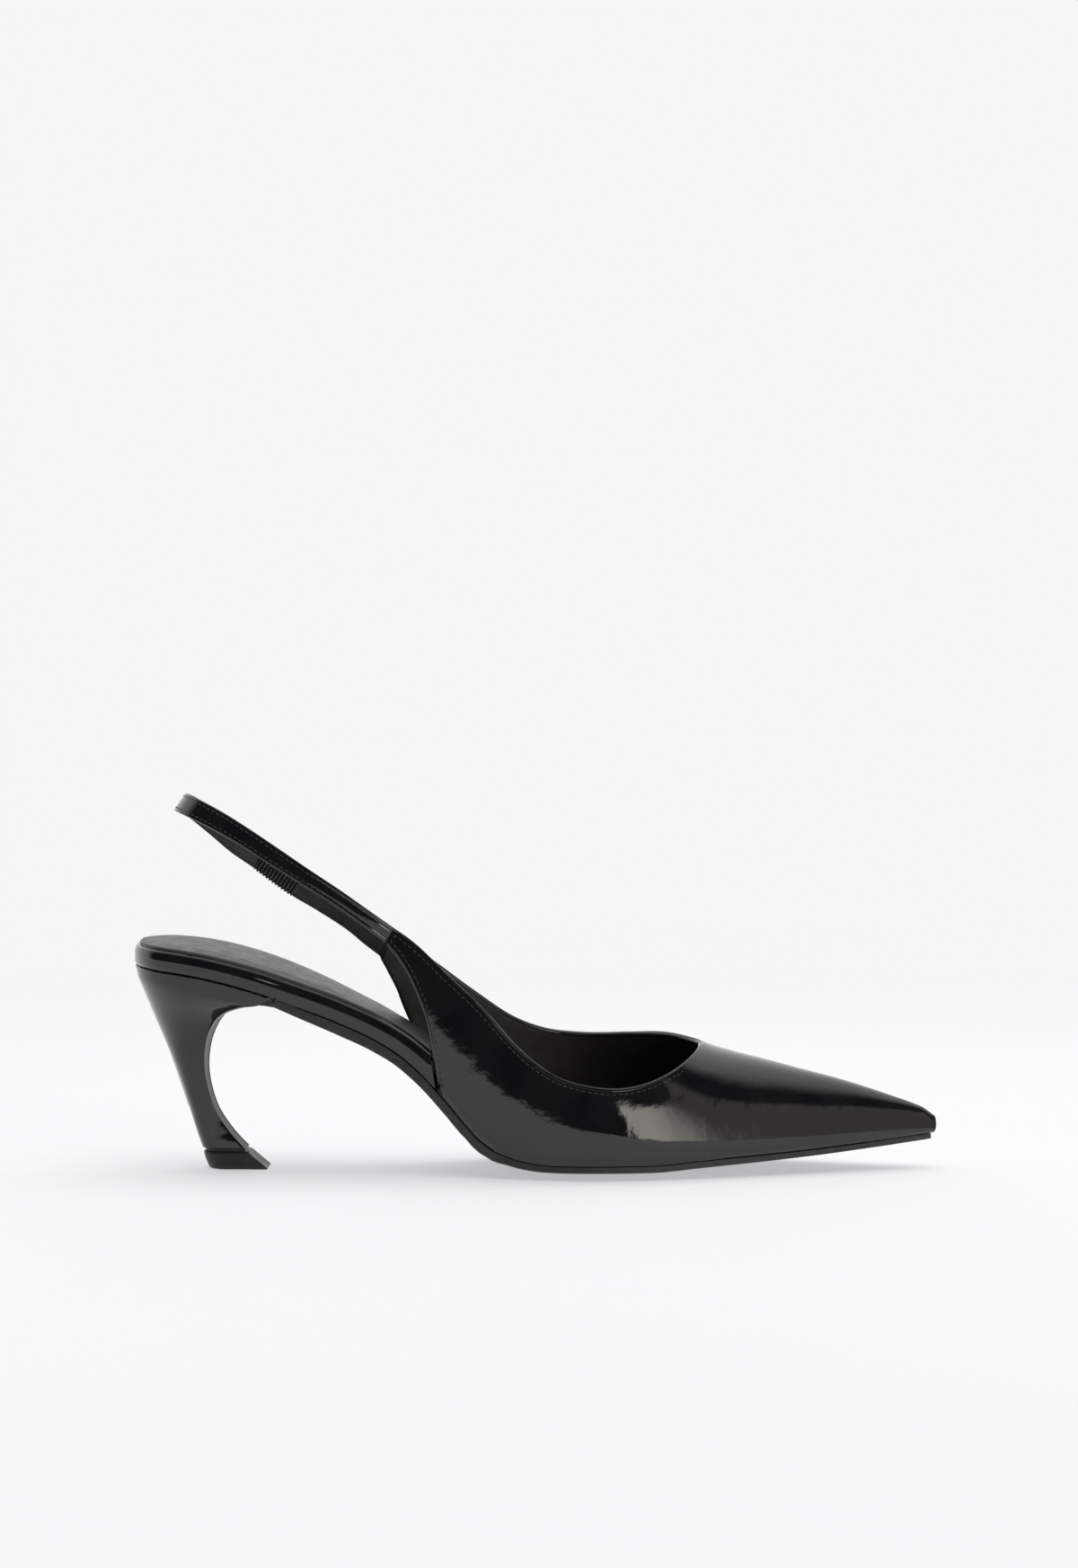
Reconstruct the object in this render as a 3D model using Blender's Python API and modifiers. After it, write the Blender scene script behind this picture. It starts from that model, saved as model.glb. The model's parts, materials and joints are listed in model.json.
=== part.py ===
"""Slingback pump for the right foot, size EU 37, with a covered 65 mm heel.

Toe at +X, outer side of the foot at -Y, floor at Z 0. Shapes are worked out in millimetres with X measured
from the back of the foot bed, and every mesh is written in metres about the middle of the shoe's length.
"""

from math import cos, hypot, pi, sin

import bmesh
import bpy
import numpy as np
from mathutils import Vector

MM = 0.001
LENGTH = 250.0
LATERAL, MEDIAL = -1, 1

# Layers of the shoe, as levels above (+) or below (-) the upper face of the insole board
GAP = 0.3
BOARD = 2.2
SHANK_BOARD = 1.6
PATENT = 0.9
LINING = 0.8
STIFFENER = 0.35
PAD = 0.9
SOCK = 0.8
RIM_TOP = GAP + PATENT
RIM_BOTTOM = -(BOARD + SHANK_BOARD + 2 * GAP + PATENT)
SOLE_TOP = RIM_BOTTOM - GAP
SOCK_BOTTOM = RIM_TOP + GAP
STIFFENER_DEPTH = PATENT + 0.25
LINING_DEPTH = STIFFENER_DEPTH + STIFFENER + GAP
TURN_IN = 9.0
UNDERCUT = 1.3

THROAT = 177.5
LINING_END = 240.0
PUFF_START = 207.0
BREAST_TOP = 46.0

PIVOT_LATERAL = (78.1, -21.9, 75.7)
PIVOT_MEDIAL = (73.9, 18.8, 71.9)
STRAP_LEAN = np.array((0.53, 0.0, 0.85))
STRAP_PATENT = 0.9
STRAP_LINING = 0.7
ELASTIC = 0.5

TIP_HEIGHT = 5.9
PIN_PLACE = 24.6
HEEL_SKIN = 1.9
FLAP = 1.1


def curve(*points):
    """A smooth line through (place, value) points, level beyond its ends."""
    places, values = np.array(points, float).T
    slopes = np.gradient(values, places)

    def at(place):
        place = np.clip(place, places[0], places[-1])
        i = np.clip(np.searchsorted(places, place) - 1, 0, len(places) - 2)
        span = places[i + 1] - places[i]
        t = (place - places[i]) / span
        start = values[i] * (1 + 2 * t) + slopes[i] * span * t
        end = values[i + 1] * (3 - 2 * t) - slopes[i + 1] * span * (1 - t)
        return start * (1 - t) ** 2 + end * t**2

    return at


def straight(*points):
    places, values = np.array(points, float).T
    return lambda place: np.interp(place, places, values)


def ease(value):
    t = min(max(value, 0.0), 1.0)
    return t * t * (3 - 2 * t)


# Height of the insole board's upper face along the middle of the foot bed
bed = curve(
    (0, 69.4), (10, 68.7), (20, 67.5), (30, 65.4), (41, 62.2), (52, 58.2), (60, 55.0), (68, 51.4), (77, 46.9),
    (85, 41.9), (92, 36.0), (99, 28.6), (104, 22.7), (110, 15.9), (114, 12.4), (119.5, 9.6), (125, 8.2),
    (131, 7.7), (138, 7.6), (144, 7.6), (150, 7.6), (156, 7.6), (163, 7.7), (175, 8.7), (190, 10.0),
    (207, 11.7), (229, 14.2), (250, 16.3),
)
sole_thickness = curve((40, 1.6), (50, 2.6), (62, 3.1), (85, 3.0), (110, 2.3), (131, 2.0), (165, 2.0), (250, 1.6))
# Half widths of the foot bed and upper, squared so that both ends are round
outline = {
    LATERAL: curve(
        (0, 0), (5, 289), (15, 600), (30, 729), (50, 590), (70, 510), (90, 625), (110, 961), (125, 1260),
        (140, 1444), (160, 1300), (175, 1024), (190, 702), (205, 420), (220, 210), (235, 72), (243, 27), (250, 4),
    ),
    MEDIAL: curve(
        (0, 0), (5, 289), (15, 600), (30, 729), (50, 530), (70, 370), (90, 380), (110, 676), (125, 1090),
        (140, 1400), (152, 1444), (160, 1420), (175, 1156), (190, 784), (205, 462), (220, 225), (235, 72),
        (243, 27), (250, 4),
    ),
}
# The last's top line, which the closed vamp follows in front of the throat
ridge = curve(
    (72, 106), (85, 99), (100, 90), (120, 76), (140, 62), (160, 49.5), (170, 43.6), (177.5, 39.6), (186.6, 36.7),
    (198, 33.8), (209.6, 30.7), (219.6, 28.1), (228.2, 25.5), (236.2, 22.8), (243.3, 20.3), (247, 18.7), (250, 16.5),
)
fullness = curve((75, 3.4), (95, 3.0), (150, 2.4), (180, 2.15), (250, 2.05))
topline = {
    LATERAL: curve(
        (81.5, 76.3), (87.3, 72.3), (98.5, 61.9), (109.8, 51.4), (119.5, 40.8), (129.9, 32.7), (141.7, 28.8),
        (154.3, 28.3), (168.8, 33.5), (177.5, 39.6),
    ),
    MEDIAL: curve(
        (80.2, 72.7), (85, 69.5), (91.6, 64.8), (105.9, 54.0), (119.1, 45.0), (128, 41.6), (140, 40.0),
        (156, 40.4), (167, 41.0), (177.5, 39.6),
    ),
}
# Place of the quarter's back edge against the share of its height, from sole to topline
quarter_back = {
    LATERAL: curve(
        (0, 95.4), (0.16, 94.3), (0.3, 93.2), (0.45, 91.5), (0.635, 88), (0.74, 85.4), (0.835, 82.2),
        (0.91, 79.4), (1, 81.9),
    ),
    MEDIAL: curve((0, 90.5), (0.3, 85.4), (0.45, 82.8), (0.56, 81.2), (0.71, 78.2), (0.84, 75.9), (1, 80.2)),
}
board_inset = straight((0, 1.4), (76, 1.4), (82, 4.5), (238, 4.9))
sock_inset = straight((0, 1.6), (76, 1.6), (82, 3.6), (190, 3.6), (215, 4.6), (230, 5.6))
shank_inset = straight((0, 1.4), (74, 1.4), (80, 11.6), (110, 13.5))


def roll(x):
    """How far the bed leans up towards the inner side, which it does at the heel."""
    return 1.1 * (1 - ease((x - 45) / 35)) * (0.6 + 0.4 * ease(x / 12))


def crown(x):
    """How far the bed's edges curl up, which they do under the ball."""
    return 2.2 * ease((x - 70) / 50) * (1 - ease((x - 165) / 75))


def half_width(side, x):
    return np.sqrt(max(outline[side](x), 0.0))


def place(x, y, level):
    """The point at this level of the foot bed's layers, measured square to the bed."""
    side = LATERAL if y < 0 else MEDIAL
    share = min(abs(y) / max(half_width(side, x), 0.5), 1.0)
    slope = (bed(x + 0.5) - bed(x - 0.5)) / (min(x + 0.5, LENGTH) - max(x - 0.5, 0))
    rise = side * share * roll(x) + crown(x) * ease((share - 0.3) / 0.7)
    return np.array((x, y, bed(x) + rise + level * hypot(1, slope)))


def edge(side, x, inset):
    """The plan point on the outline at x, moved in square to the outline."""
    low, high = max(x - 0.3, 0.0), min(x + 0.3, LENGTH)
    run = np.array((high - low, half_width(side, high) - half_width(side, low)))
    run /= np.linalg.norm(run)
    return np.array((x + run[1] * inset, side * max(half_width(side, x) - run[0] * inset, 0.4)))


def new_object(name, bm, colour, roughness, metallic=0.0, pivot=(0, 0, 0)):
    mesh = bpy.data.meshes.new(name)
    bm.to_mesh(mesh)
    bm.free()
    mesh.shade_smooth()
    mesh.set_sharp_from_angle(angle=0.7)
    obj = bpy.data.objects.new(name, mesh)
    obj.location = Vector(pivot)
    material = bpy.data.materials.new(name)
    material.use_nodes = True
    shader = material.node_tree.nodes["Principled BSDF"]
    shader.inputs["Base Color"].default_value = (*colour, 1)
    shader.inputs["Roughness"].default_value = roughness
    shader.inputs["Metallic"].default_value = metallic
    mesh.materials.append(material)
    parts.objects.link(obj)
    return obj


def in_metres(point, pivot=(0, 0, 0)):
    return Vector(((point[0] - LENGTH / 2) * MM, point[1] * MM, point[2] * MM)) - Vector(pivot)


def loft(name, rings, look):
    """A solid through rings of points whose first half mirrors the second, which also closes its ends."""
    bm = bmesh.new()
    rows = [[bm.verts.new(in_metres(point)) for point in ring] for ring in rings]
    count = len(rows[0])
    for row, after in zip(rows, rows[1:]):
        for i in range(count):
            j = (i + 1) % count
            bm.faces.new((row[i], row[j], after[j], after[i]))
    for row in (rows[0], rows[-1]):
        for i in range(count // 2 - 1):
            bm.faces.new((row[i], row[i + 1], row[-2 - i], row[-1 - i]))
    bmesh.ops.recalc_face_normals(bm, faces=bm.faces)
    return new_object(name, bm, *look)


def plate(name, inset, low, high, stations, look, columns=6, half=None):
    """A slab of the foot bed between two levels, inside the outline by inset(x) or half wide to each side."""
    rings = []
    for x in stations:
        left, right = edge(LATERAL, x, inset(x)), edge(MEDIAL, x, inset(x))
        if half:
            left, right = np.array((x, -half)), np.array((x, half))
        across = [left + (right - left) * i / columns for i in range(columns + 1)]
        top = [place(*point, high(x)) for point in across]
        bottom = [place(*point, low(x)) for point in reversed(across)]
        rings.append(top + bottom)
    return loft(name, rings, look)


def level(value):
    return lambda x: value


def shell(name, grid, depth, thickness, look, pivot=(0, 0, 0), keep=None, gap=None, cap=None):
    """A skin of even thickness, depth below a surface given as rows of points.

    keep(i, j) says which faces of the surface the skin has, and gap(i, j) where the surface itself is open.
    """
    bm = bmesh.new()
    made = {}

    def vert(point):
        key = tuple(np.round(point, 5))
        if key not in made:
            made[key] = bm.verts.new(in_metres(point, pivot))
        return made[key]

    spare = []
    for i in range(len(grid) - 1):
        for j in range(len(grid[i]) - 1):
            if gap and gap(i, j):
                continue
            corners = (grid[i][j], grid[i][j + 1], grid[i + 1][j + 1], grid[i + 1][j])
            ring = list(dict.fromkeys(vert(corner) for corner in corners))
            face = bm.faces.new(ring)
            if keep and not keep(i, j):
                spare.append(face)
    if cap:
        bm.faces.new([vert(point) for point in cap])
    bmesh.ops.recalc_face_normals(bm, faces=bm.faces)
    inside = sum((v.co for v in bm.verts), Vector()) / len(bm.verts)
    inside.y = -pivot[1]
    if sum(face.normal.dot(face.calc_center_median() - inside) * face.calc_area() for face in bm.faces) < 0:
        bmesh.ops.reverse_faces(bm, faces=bm.faces)
    bm.normal_update()
    inward = [-v.normal * v.calc_shell_factor() for v in bm.verts]
    for v, step in zip(bm.verts, inward):
        v.co += step * depth * MM
    bmesh.ops.delete(bm, geom=spare, context="FACES")
    obj = new_object(name, bm, *look, pivot=pivot)
    solidify = obj.modifiers.new("Thickness", "SOLIDIFY")
    solidify.thickness = thickness * MM
    solidify.offset = -1
    solidify.use_even_offset = True
    return obj


def rod(name, x, y, bottom, top, radius, look, head=None):
    """An upright pin, with a wider head at its top if head=(radius, height)."""
    bm = bmesh.new()
    profile = [(bottom, radius), (top, radius)]
    if head:
        profile = [(bottom, radius), (top - head[1], radius), (top - head[1], head[0]), (top, head[0])]
    sides = 10
    rows = []
    for z, r in profile:
        ring = [(x + r * cos(2 * pi * k / sides), y + r * sin(2 * pi * k / sides), z) for k in range(sides)]
        rows.append([bm.verts.new(in_metres(point)) for point in ring])
    for row, after in zip(rows, rows[1:]):
        for k in range(sides):
            bm.faces.new((row[k], row[(k + 1) % sides], after[(k + 1) % sides], after[k]))
    bm.faces.new(rows[0])
    bm.faces.new(rows[-1])
    bmesh.ops.recalc_face_normals(bm, faces=bm.faces)
    return new_object(name, bm, *look)


def drill(x, y, bottom, top, radius, *targets):
    """Cuts an upright round hole through the targets."""
    cutter = rod(f"hole_{len(cutters.objects)}", x, y, bottom, top, radius, CUTTER)
    parts.objects.unlink(cutter)
    cutters.objects.link(cutter)
    cutter.hide_render = True
    cutter.display_type = "WIRE"
    for target in targets:
        hole = target.modifiers.new(cutter.name, "BOOLEAN")
        hole.operation = "DIFFERENCE"
        hole.object = cutter


# ---- upper -------------------------------------------------------------------------------------------------

WALL_COLUMNS = 7
CLOSED_ROWS = (250, 248.6, 246.6, 244, 240, 235, 229, 222, 214.5, 207, 198.5, 190, 183.5, THROAT)
OPEN_ROWS = 17


def wall_y(side, x, z):
    """How far out the upper's outer face is at this place and height."""
    foot = place(x, side * half_width(side, x), RIM_BOTTOM)[2]
    share = min(max((z - foot) / (ridge(x) - foot), 0.0), 1.0)
    power = fullness(x)
    out = half_width(side, x) * (1 - share**power) ** (1 / power)
    return side * max(out - UNDERCUT * max(0.0, 1 - share / 0.2) ** 2, 0.0)


def turned_in(side, x, points):
    """The lasting margin's points, from its inner edge out to the feather line."""
    feather = abs(points[0][1])
    inner = max(feather - TURN_IN, min(1.3, feather * 0.4))
    return [place(x, side * y, RIM_BOTTOM) for y in (inner, (inner + feather) / 2)] + points


def upper_half(side, x_top, z_top, lean):
    """One side of one row: margin, feather line, then up the wall to z_top."""
    back = quarter_back[side]
    x_foot = x_top + lean * (back(0) - back(1))
    foot = place(x_foot, side * half_width(side, x_foot), RIM_BOTTOM)[2]
    power = fullness(x_top)
    share_top = min((z_top - foot) / (ridge(x_top) - foot), 1.0)
    turn_top = np.arcsin(share_top ** (power / 2))
    points = []
    for j in range(WALL_COLUMNS + 1):
        share = (sin(turn_top * j / WALL_COLUMNS) ** (2 / power)) / share_top
        x = x_top + lean * (back(share) - back(1))
        z = foot + (z_top - foot) * share
        points.append(np.array((x, wall_y(side, x, z), z)))
    return turned_in(side, x_foot, points)


def upper_grid():
    """Rows from the toe to the quarters, each from the outer margin over the foot to the inner margin."""
    grid = []
    for x in CLOSED_ROWS:
        outer, inner = (upper_half(side, x, ridge(x), 0) for side in (LATERAL, MEDIAL))
        grid.append(outer + inner[::-1])
    for i in range(1, OPEN_ROWS + 1):
        halves = []
        for side in (LATERAL, MEDIAL):
            end = quarter_back[side](1)
            x = THROAT - (THROAT - end) * (i / OPEN_ROWS) ** 1.6
            lean = ease((116 - x) / (116 - end))
            halves.append(upper_half(side, x, topline[side](x), lean))
        grid.append(halves[0] + halves[1][::-1])
    return grid


def make_upper():
    grid = upper_grid()
    half = len(grid[0]) // 2
    closed = len(CLOSED_ROWS) - 1
    front = grid[0][:half] + grid[0][half + 1:]

    def skin(name, depth, thickness, look, keep=None, cap=None):
        """The two halves share the ridge in front of the throat and part behind it."""
        shell(name, grid, depth, thickness, look, keep=keep, gap=lambda i, j: j == half - 1, cap=cap)

    skin("vamp_upper", 0, PATENT, PATENT_LOOK, cap=front)
    lined = [x <= LINING_END for x in CLOSED_ROWS] + [True] * OPEN_ROWS
    skin("upper_lining", LINING_DEPTH, LINING, LINING_LOOK, lambda i, j: lined[i])
    puffed = [LINING_END >= x > PUFF_START for x in CLOSED_ROWS] + [False] * OPEN_ROWS
    skin("toe_puff", STIFFENER_DEPTH, STIFFENER, PUFF_LOOK, lambda i, j: puffed[i] and 1 < j < 2 * half - 3)
    for name, column in (("topline_tape_lateral", half - 2), ("topline_tape_medial", half)):
        taped = lambda i, j, column=column: i > closed and j == column
        skin(name, STIFFENER_DEPTH, STIFFENER, TAPE_LOOK, taped)


# ---- sole and foot bed -------------------------------------------------------------------------------------

BED_STATIONS = (0.5, 2.5, 6, 11, 17, 24, 32, 41, 50, 59, 68, 76, 80, 84, 88, 92, 97, 102, 107, 112, 118, 125)
BALL_STATIONS = (131, 138, 144, 150, 156, 163, 171, 180, 190, 200, 210, 219, 227)
RIM_STATIONS = (92.2, 86, 80, 74, 67, 59, 50, 41, 32, 24, 17, 11, 6.5, 3, 1, 0.2)


def between(first, last):
    return [x for x in BED_STATIONS + BALL_STATIONS if first <= x <= last]


def rim_section():
    """(inset, level) round the C of the cover: outer face from top flange to bottom flange, then back inside."""
    outer = [(9, RIM_TOP), (1.2, RIM_TOP), (0.3, RIM_TOP - 0.7), (0, -2), (0.3, RIM_BOTTOM + 0.6)]
    outer += [(1.2, RIM_BOTTOM), (9, RIM_BOTTOM)]
    inner = [(9, RIM_BOTTOM + PATENT), (1.3, RIM_BOTTOM + PATENT), (1.0, RIM_BOTTOM + PATENT + 0.5), (0.9, -2)]
    inner += [(1.0, GAP - 0.4), (1.3, GAP), (9, GAP)]
    return outer + inner


def make_rim_cover():
    rings = []
    ends = {LATERAL: (93.5, -0.26), MEDIAL: (85.6, -0.82)}
    route = [(LATERAL, x) for x in RIM_STATIONS] + [(MEDIAL, x) for x in reversed(RIM_STATIONS)]
    for side, x in route:
        last, shear = ends[side]
        x = x + (last - RIM_STATIONS[0]) * ease((x - 45) / 45)
        pull = shear * ease((x - 66) / 16)
        ring = []
        for inset, height in rim_section():
            along = x + pull * height
            point = edge(side, along, inset)
            point[0] += (along - point[0]) * ease((x - 60) / 16)
            ring.append(place(*point, height))
        rings.append(ring)
    loft("insole_rim_cover", rings, PATENT_LOOK)


def breast_path():
    """Outer face of the sole where it runs down the heel's breast, as (x, z), with its inward normals."""
    fronts = [np.array(front) for _, front, _ in HEEL_RINGS[:-1]]
    steps = np.gradient(np.array(fronts), axis=0)
    inwards = [np.array((-step[1], step[0])) / hypot(*step) for step in steps]
    inwards[0] = np.array((-1.0, 0.0))
    return list(zip(fronts, inwards))


def make_outsole():
    """One leather sole that runs from the toe to the waist and down the breast of the heel."""
    rings = []
    columns = 6
    for (front, inward), (_, _, width) in zip(breast_path(), HEEL_RINGS):
        half = width * HEEL_FRONT - PATENT - GAP - 0.1
        across = [-half + 2 * half * j / columns for j in range(columns + 1)]
        inner = front + inward * FLAP
        top = [np.array((inner[0], y, inner[1])) for y in across]
        bottom = [np.array((front[0], y, front[1])) for y in reversed(across)]
        rings.append(top + bottom)
    for x in [BREAST_TOP] + between(50, 227) + [233, 239, 244, 247.5, 249.3]:
        inset = 1.6 + 1.4 * ease((62 - x) / 14)
        left, right = edge(LATERAL, x, inset), edge(MEDIAL, x, inset)
        across = [left + (right - left) * j / columns for j in range(columns + 1)]
        top = [place(*point, SOLE_TOP) for point in across]
        bottom = [place(*point, SOLE_TOP - sole_thickness(x)) for point in reversed(across)]
        rings.append(top + bottom)
    loft("outsole", rings, SOLE_LOOK)


def make_foot_bed():
    board = plate("insole_board", board_inset, level(-BOARD), level(0), between(0, 227) + [233, 238], BOARD_LOOK)
    low = RIM_BOTTOM + PATENT + GAP
    shank_board = plate("shank_board", shank_inset, level(low), level(-BOARD - GAP), between(0, 107), SHANK_LOOK)
    steel = plate(
        "steel_shank", level(0), level(RIM_BOTTOM), level(RIM_BOTTOM + PATENT), between(17, 107), STEEL_LOOK,
        columns=2, half=5.0,
    )
    plate("heel_pad", level(10.4), level(GAP), level(GAP + PAD), between(11, 76), PAD_LOOK)
    plate("ball_pad", level(9.0), level(GAP), level(GAP + PAD), between(125, 190), PAD_LOOK)
    filler = straight((100, 11.4), (227, 10.8))
    plate("bottom_filler", filler, level(RIM_BOTTOM + 0.2), level(-BOARD - GAP), between(118, 200), FILLER_LOOK)
    plate("sock", sock_inset, level(SOCK_BOTTOM), level(SOCK_BOTTOM + SOCK), between(0, 227), SOCK_LOOK)
    return board, shank_board, steel


# ---- heel --------------------------------------------------------------------------------------------------

# back (x, z), front (x, z) and half width of each ring, from the top piece to the seat
HEEL_RINGS = (
    ((21.3, 6.2), (35.0, 6.2), 6.6), ((19.1, 12.3), (29.8, 12.0), 6.3), ((16.6, 20), (25.0, 19.8), 6.7),
    ((13.2, 30), (22.4, 30), 8.4), ((10.0, 38.5), (22.9, 39), 11.2), ((7.0, 46), (25.4, 45.4), 15.2),
    ((4.7, 52), (29.2, 49.0), 19.0), ((3.0, 56.8), (34.5, 51.2), 22.4), ((1.8, 60.3), (40.4, 52.2), 25.0),
    ((0.7, 63.2), (46.2, 53.3), 26.4),
)
HEEL_FOLLOW = (0, 0, 0, 0, 0, 0, 0.1, 0.35, 0.7, 1)
HEEL_FRONT = 0.95
HALF_RING = 9
BACK_POINTS = 6


def heel_ring(back, front, width, skin=0.0, follow=0.0):
    """A D of points round the heel; follow (0 to 1) draws it out to the foot bed's outline."""
    one_side = []
    depth = min(front[0] - back[0], 1.6 * width) * 0.55
    for k in range(HALF_RING):
        if k < BACK_POINTS:
            turn = (k + 0.5) / BACK_POINTS * pi / 2
            x, y = back[0] + depth * (1 - cos(turn)), width * sin(turn) ** 0.9
        else:
            share = (k - BACK_POINTS + 1) / (HALF_RING - BACK_POINTS)
            x = back[0] + depth + (front[0] - back[0] - depth) * share
            y = width * (1 + (HEEL_FRONT - 1) * share**2)
        z = back[1] + (front[1] - back[1]) * (x - back[0]) / (front[0] - back[0])
        x += skin * max(0.0, 1 - (x - back[0]) / depth)
        seat = max(half_width(LATERAL, x) - 0.5, 0.5)
        y = max(y + (seat - y) * follow - skin, 0.4)
        one_side.append(np.array((x, -y, z)))
    return one_side + [point * (1, -1, 1) for point in reversed(one_side)]


def heel_rings(skin, top_level):
    """Rings from the top piece to the seat; an inner skin also stands back from the breast."""
    fronts = [front for _, front, _ in HEEL_RINGS]
    if skin:
        fronts = [front + inward * (FLAP + GAP + 0.2) for front, inward in breast_path()] + [(41.0, 56.0)]
    rings = []
    for (back, _, width), front, follow in zip(HEEL_RINGS, fronts, HEEL_FOLLOW):
        rings.append(heel_ring(back, front, width, skin, follow))
    rings[-1] = [place(point[0], point[1], top_level) for point in rings[-1]]
    return rings


def make_heel():
    core = loft("heel_core", heel_rings(HEEL_SKIN, SOLE_TOP), CORE_LOOK)
    rings = heel_rings(0, SOLE_TOP - 0.9)
    rings[0] = [point + np.array((0, 0, 0.4)) for point in rings[0]]
    rows = [ring[HALF_RING:] + ring[:HALF_RING] for ring in rings]
    shell("heel_cover", rows, 0, PATENT, PATENT_LOOK)
    make_tip(core)
    return core


def make_tip(core):
    bottom = heel_ring((23.4, 0), (42.4, 0), 6.9)
    middle = heel_ring((22.1, 3.2), (38.6, 3.2), 6.8)
    top = heel_ring((21.4, TIP_HEIGHT), (35.4, TIP_HEIGHT), 6.7)
    tip = loft("heel_tip", [bottom, middle, top], TIP_LOOK)
    rod("heel_tip_pin", PIN_PLACE, 0, 2.6, 13.5, 1.0, STEEL_LOOK)
    drill(PIN_PLACE, 0, 2.3, 13.8, 1.3, tip, core)


def make_fasteners(board, shank_board, steel, core):
    for i, (x, y) in enumerate(((15, -9.5), (15, 9.5), (26, -10), (26, 10)), 1):
        top = place(x, y, 0)[2] - 0.3
        rod(f"heel_nail_{i}", x, y, top - 12, top, 0.75, STEEL_LOOK, head=(1.8, 0.8))
        drill(x, y, top - 12.3, top + 2, 1.05, shank_board, core)
        drill(x, y, top - 1.1, top + 2.1, 2.3, board)
        drill(x, y, top - 4.9, top - 0.9, 1.06, board)
    x, y = 20.5, 0.0
    top = place(x, y, 0)[2] - 0.8
    rod("heel_screw", x, y, top - 24, top, 1.6, STEEL_LOOK, head=(3.0, 0.9))
    drill(x, y, top - 24.3, top - 0.8, 1.9, shank_board, steel, core, board)
    drill(x, y, top - 1.2, top + 3, 3.3, board)
    for name, x in (("shank_rivet_rear", 40.0), ("shank_rivet_front", 62.0)):
        middle = place(x, 0, (RIM_BOTTOM - BOARD) / 2)[2]
        rod(name, x, 0, middle - 1.1, middle + 1.1, 1.2, BRASS_LOOK)
        drill(x, 0, middle - 4, middle + 1.4, 1.5, steel)
        drill(x, 0, middle - 4, middle + 1.4, 1.5, shank_board)


# ---- strap -------------------------------------------------------------------------------------------------

# Lower edge of the strap and its width, from the outer root round the heel to the inner root
STRAP = (
    (79.15, -22.35, 71.6, 5.2), (73.6, -23.4, 75.8, 5.0), (63.4, -24.7, 83.1, 5.0), (53.6, -25.2, 89.4, 5.2),
    (44.2, -24.6, 95.3, 5.6), (34.6, -22.9, 101.4, 5.8), (26.6, -20.2, 105.8, 6.2), (19.4, -15.8, 109.2, 6.5),
    (14.4, -9.2, 111.2, 6.7), (12.2, 0, 111.7, 6.8), (14.2, 9.2, 110.4, 6.7), (18.0, 14.6, 107.1, 6.4),
    (22.2, 18.0, 103.3, 6.0), (28.0, 21.2, 98.1, 5.8), (34.6, 23.2, 93.4, 5.7), (41.0, 24.0, 88.6, 5.6),
    (47.6, 24.0, 84.0, 5.6), (55.0, 23.3, 79.7, 5.8), (64.4, 21.7, 73.8, 6.6), (71.0, 19.9, 68.6, 7.8),
    (75.5, 18.4, 65.35, 8.6),
)
ELASTIC_START, ELASTIC_STOP, STRAP_STOP = 14.0, 16.0, 20.0
ROOT_START, TAB_CLEARANCE = 0.05, 0.12  # of a station, left open where the strap meets each quarter
ROUND_SHARES = (0.0, 0.06, 0.16, 0.32, 0.55, 1.0)
strap_line = [curve(*((i, row[axis]) for i, row in enumerate(STRAP))) for axis in range(4)]


def strap_line_at(s):
    """(lower edge point, width) of the strap at station s."""
    x, y, z, width = (float(line(s)) for line in strap_line)
    return np.array((x, y, z)), width


def strap_rows(first, last, steps, narrow=0.0, round_end=None):
    """Rows of three points across the strap; round_end, first or last, is a half circle about its pivot."""
    places = list(np.linspace(first, last, steps + 1))
    middles = {}
    if round_end is not None:
        tip, width = strap_line_at(round_end)
        tip, half = tip + STRAP_LEAN * width / 2, width / 2
        inward = 1 if round_end == first else -1
        beside = strap_line_at(round_end + inward * 0.1)
        pace = np.linalg.norm(beside[0] + STRAP_LEAN * beside[1] / 2 - tip) / 0.1
        reach = half / pace
        places = [s for s in places if abs(s - round_end) > reach * 1.15]
        places = sorted(places + [round_end + inward * reach * share for share in ROUND_SHARES])
        middles = {s: abs(s - round_end) / reach for s in places}
    rows = []
    for s in places:
        point, width = strap_line_at(s)
        low = point + STRAP_LEAN * narrow
        high = point + STRAP_LEAN * (width - narrow)
        middle = (low + high) / 2
        share = max(1 - (1 - min(middles.get(s, 1.0), 1.0)) ** 2, 0.1) ** 0.5
        rows.append([middle + (low - middle) * share, middle, middle + (high - middle) * share])
    return rows


def make_strap():
    pivot = in_metres(PIVOT_LATERAL)
    loop = strap_rows(ROOT_START, ELASTIC_START - 0.03, 44, round_end=ROOT_START)
    shell("strap_outer", loop, 0, STRAP_PATENT, PATENT_LOOK, pivot)
    shell("strap_lining", loop, STRAP_PATENT + GAP, STRAP_LINING, LINING_LOOK, pivot)
    root = in_metres(PIVOT_MEDIAL)
    stop = STRAP_STOP - TAB_CLEARANCE
    tab = strap_rows(ELASTIC_STOP + 0.03, stop, 10, round_end=stop)
    shell("tab_outer", tab, 0, STRAP_PATENT, PATENT_LOOK, root)
    shell("tab_lining", tab, STRAP_PATENT + GAP, STRAP_LINING, LINING_LOOK, root)
    gather = strap_rows(ELASTIC_START + 0.03, ELASTIC_STOP - 0.03, 6)
    band = strap_rows(ELASTIC_START + 0.03, ELASTIC_STOP - 0.03, 6, narrow=0.5)
    shell("elastic_cover", gather, 0, ELASTIC, PATENT_LOOK, root)
    shell("elastic_band", band, ELASTIC + GAP, ELASTIC, ELASTIC_LOOK, root)
    shell("elastic_lining", gather, 2 * (ELASTIC + GAP), ELASTIC, LINING_LOOK, root)


# ---- the object --------------------------------------------------------------------------------------------

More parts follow.
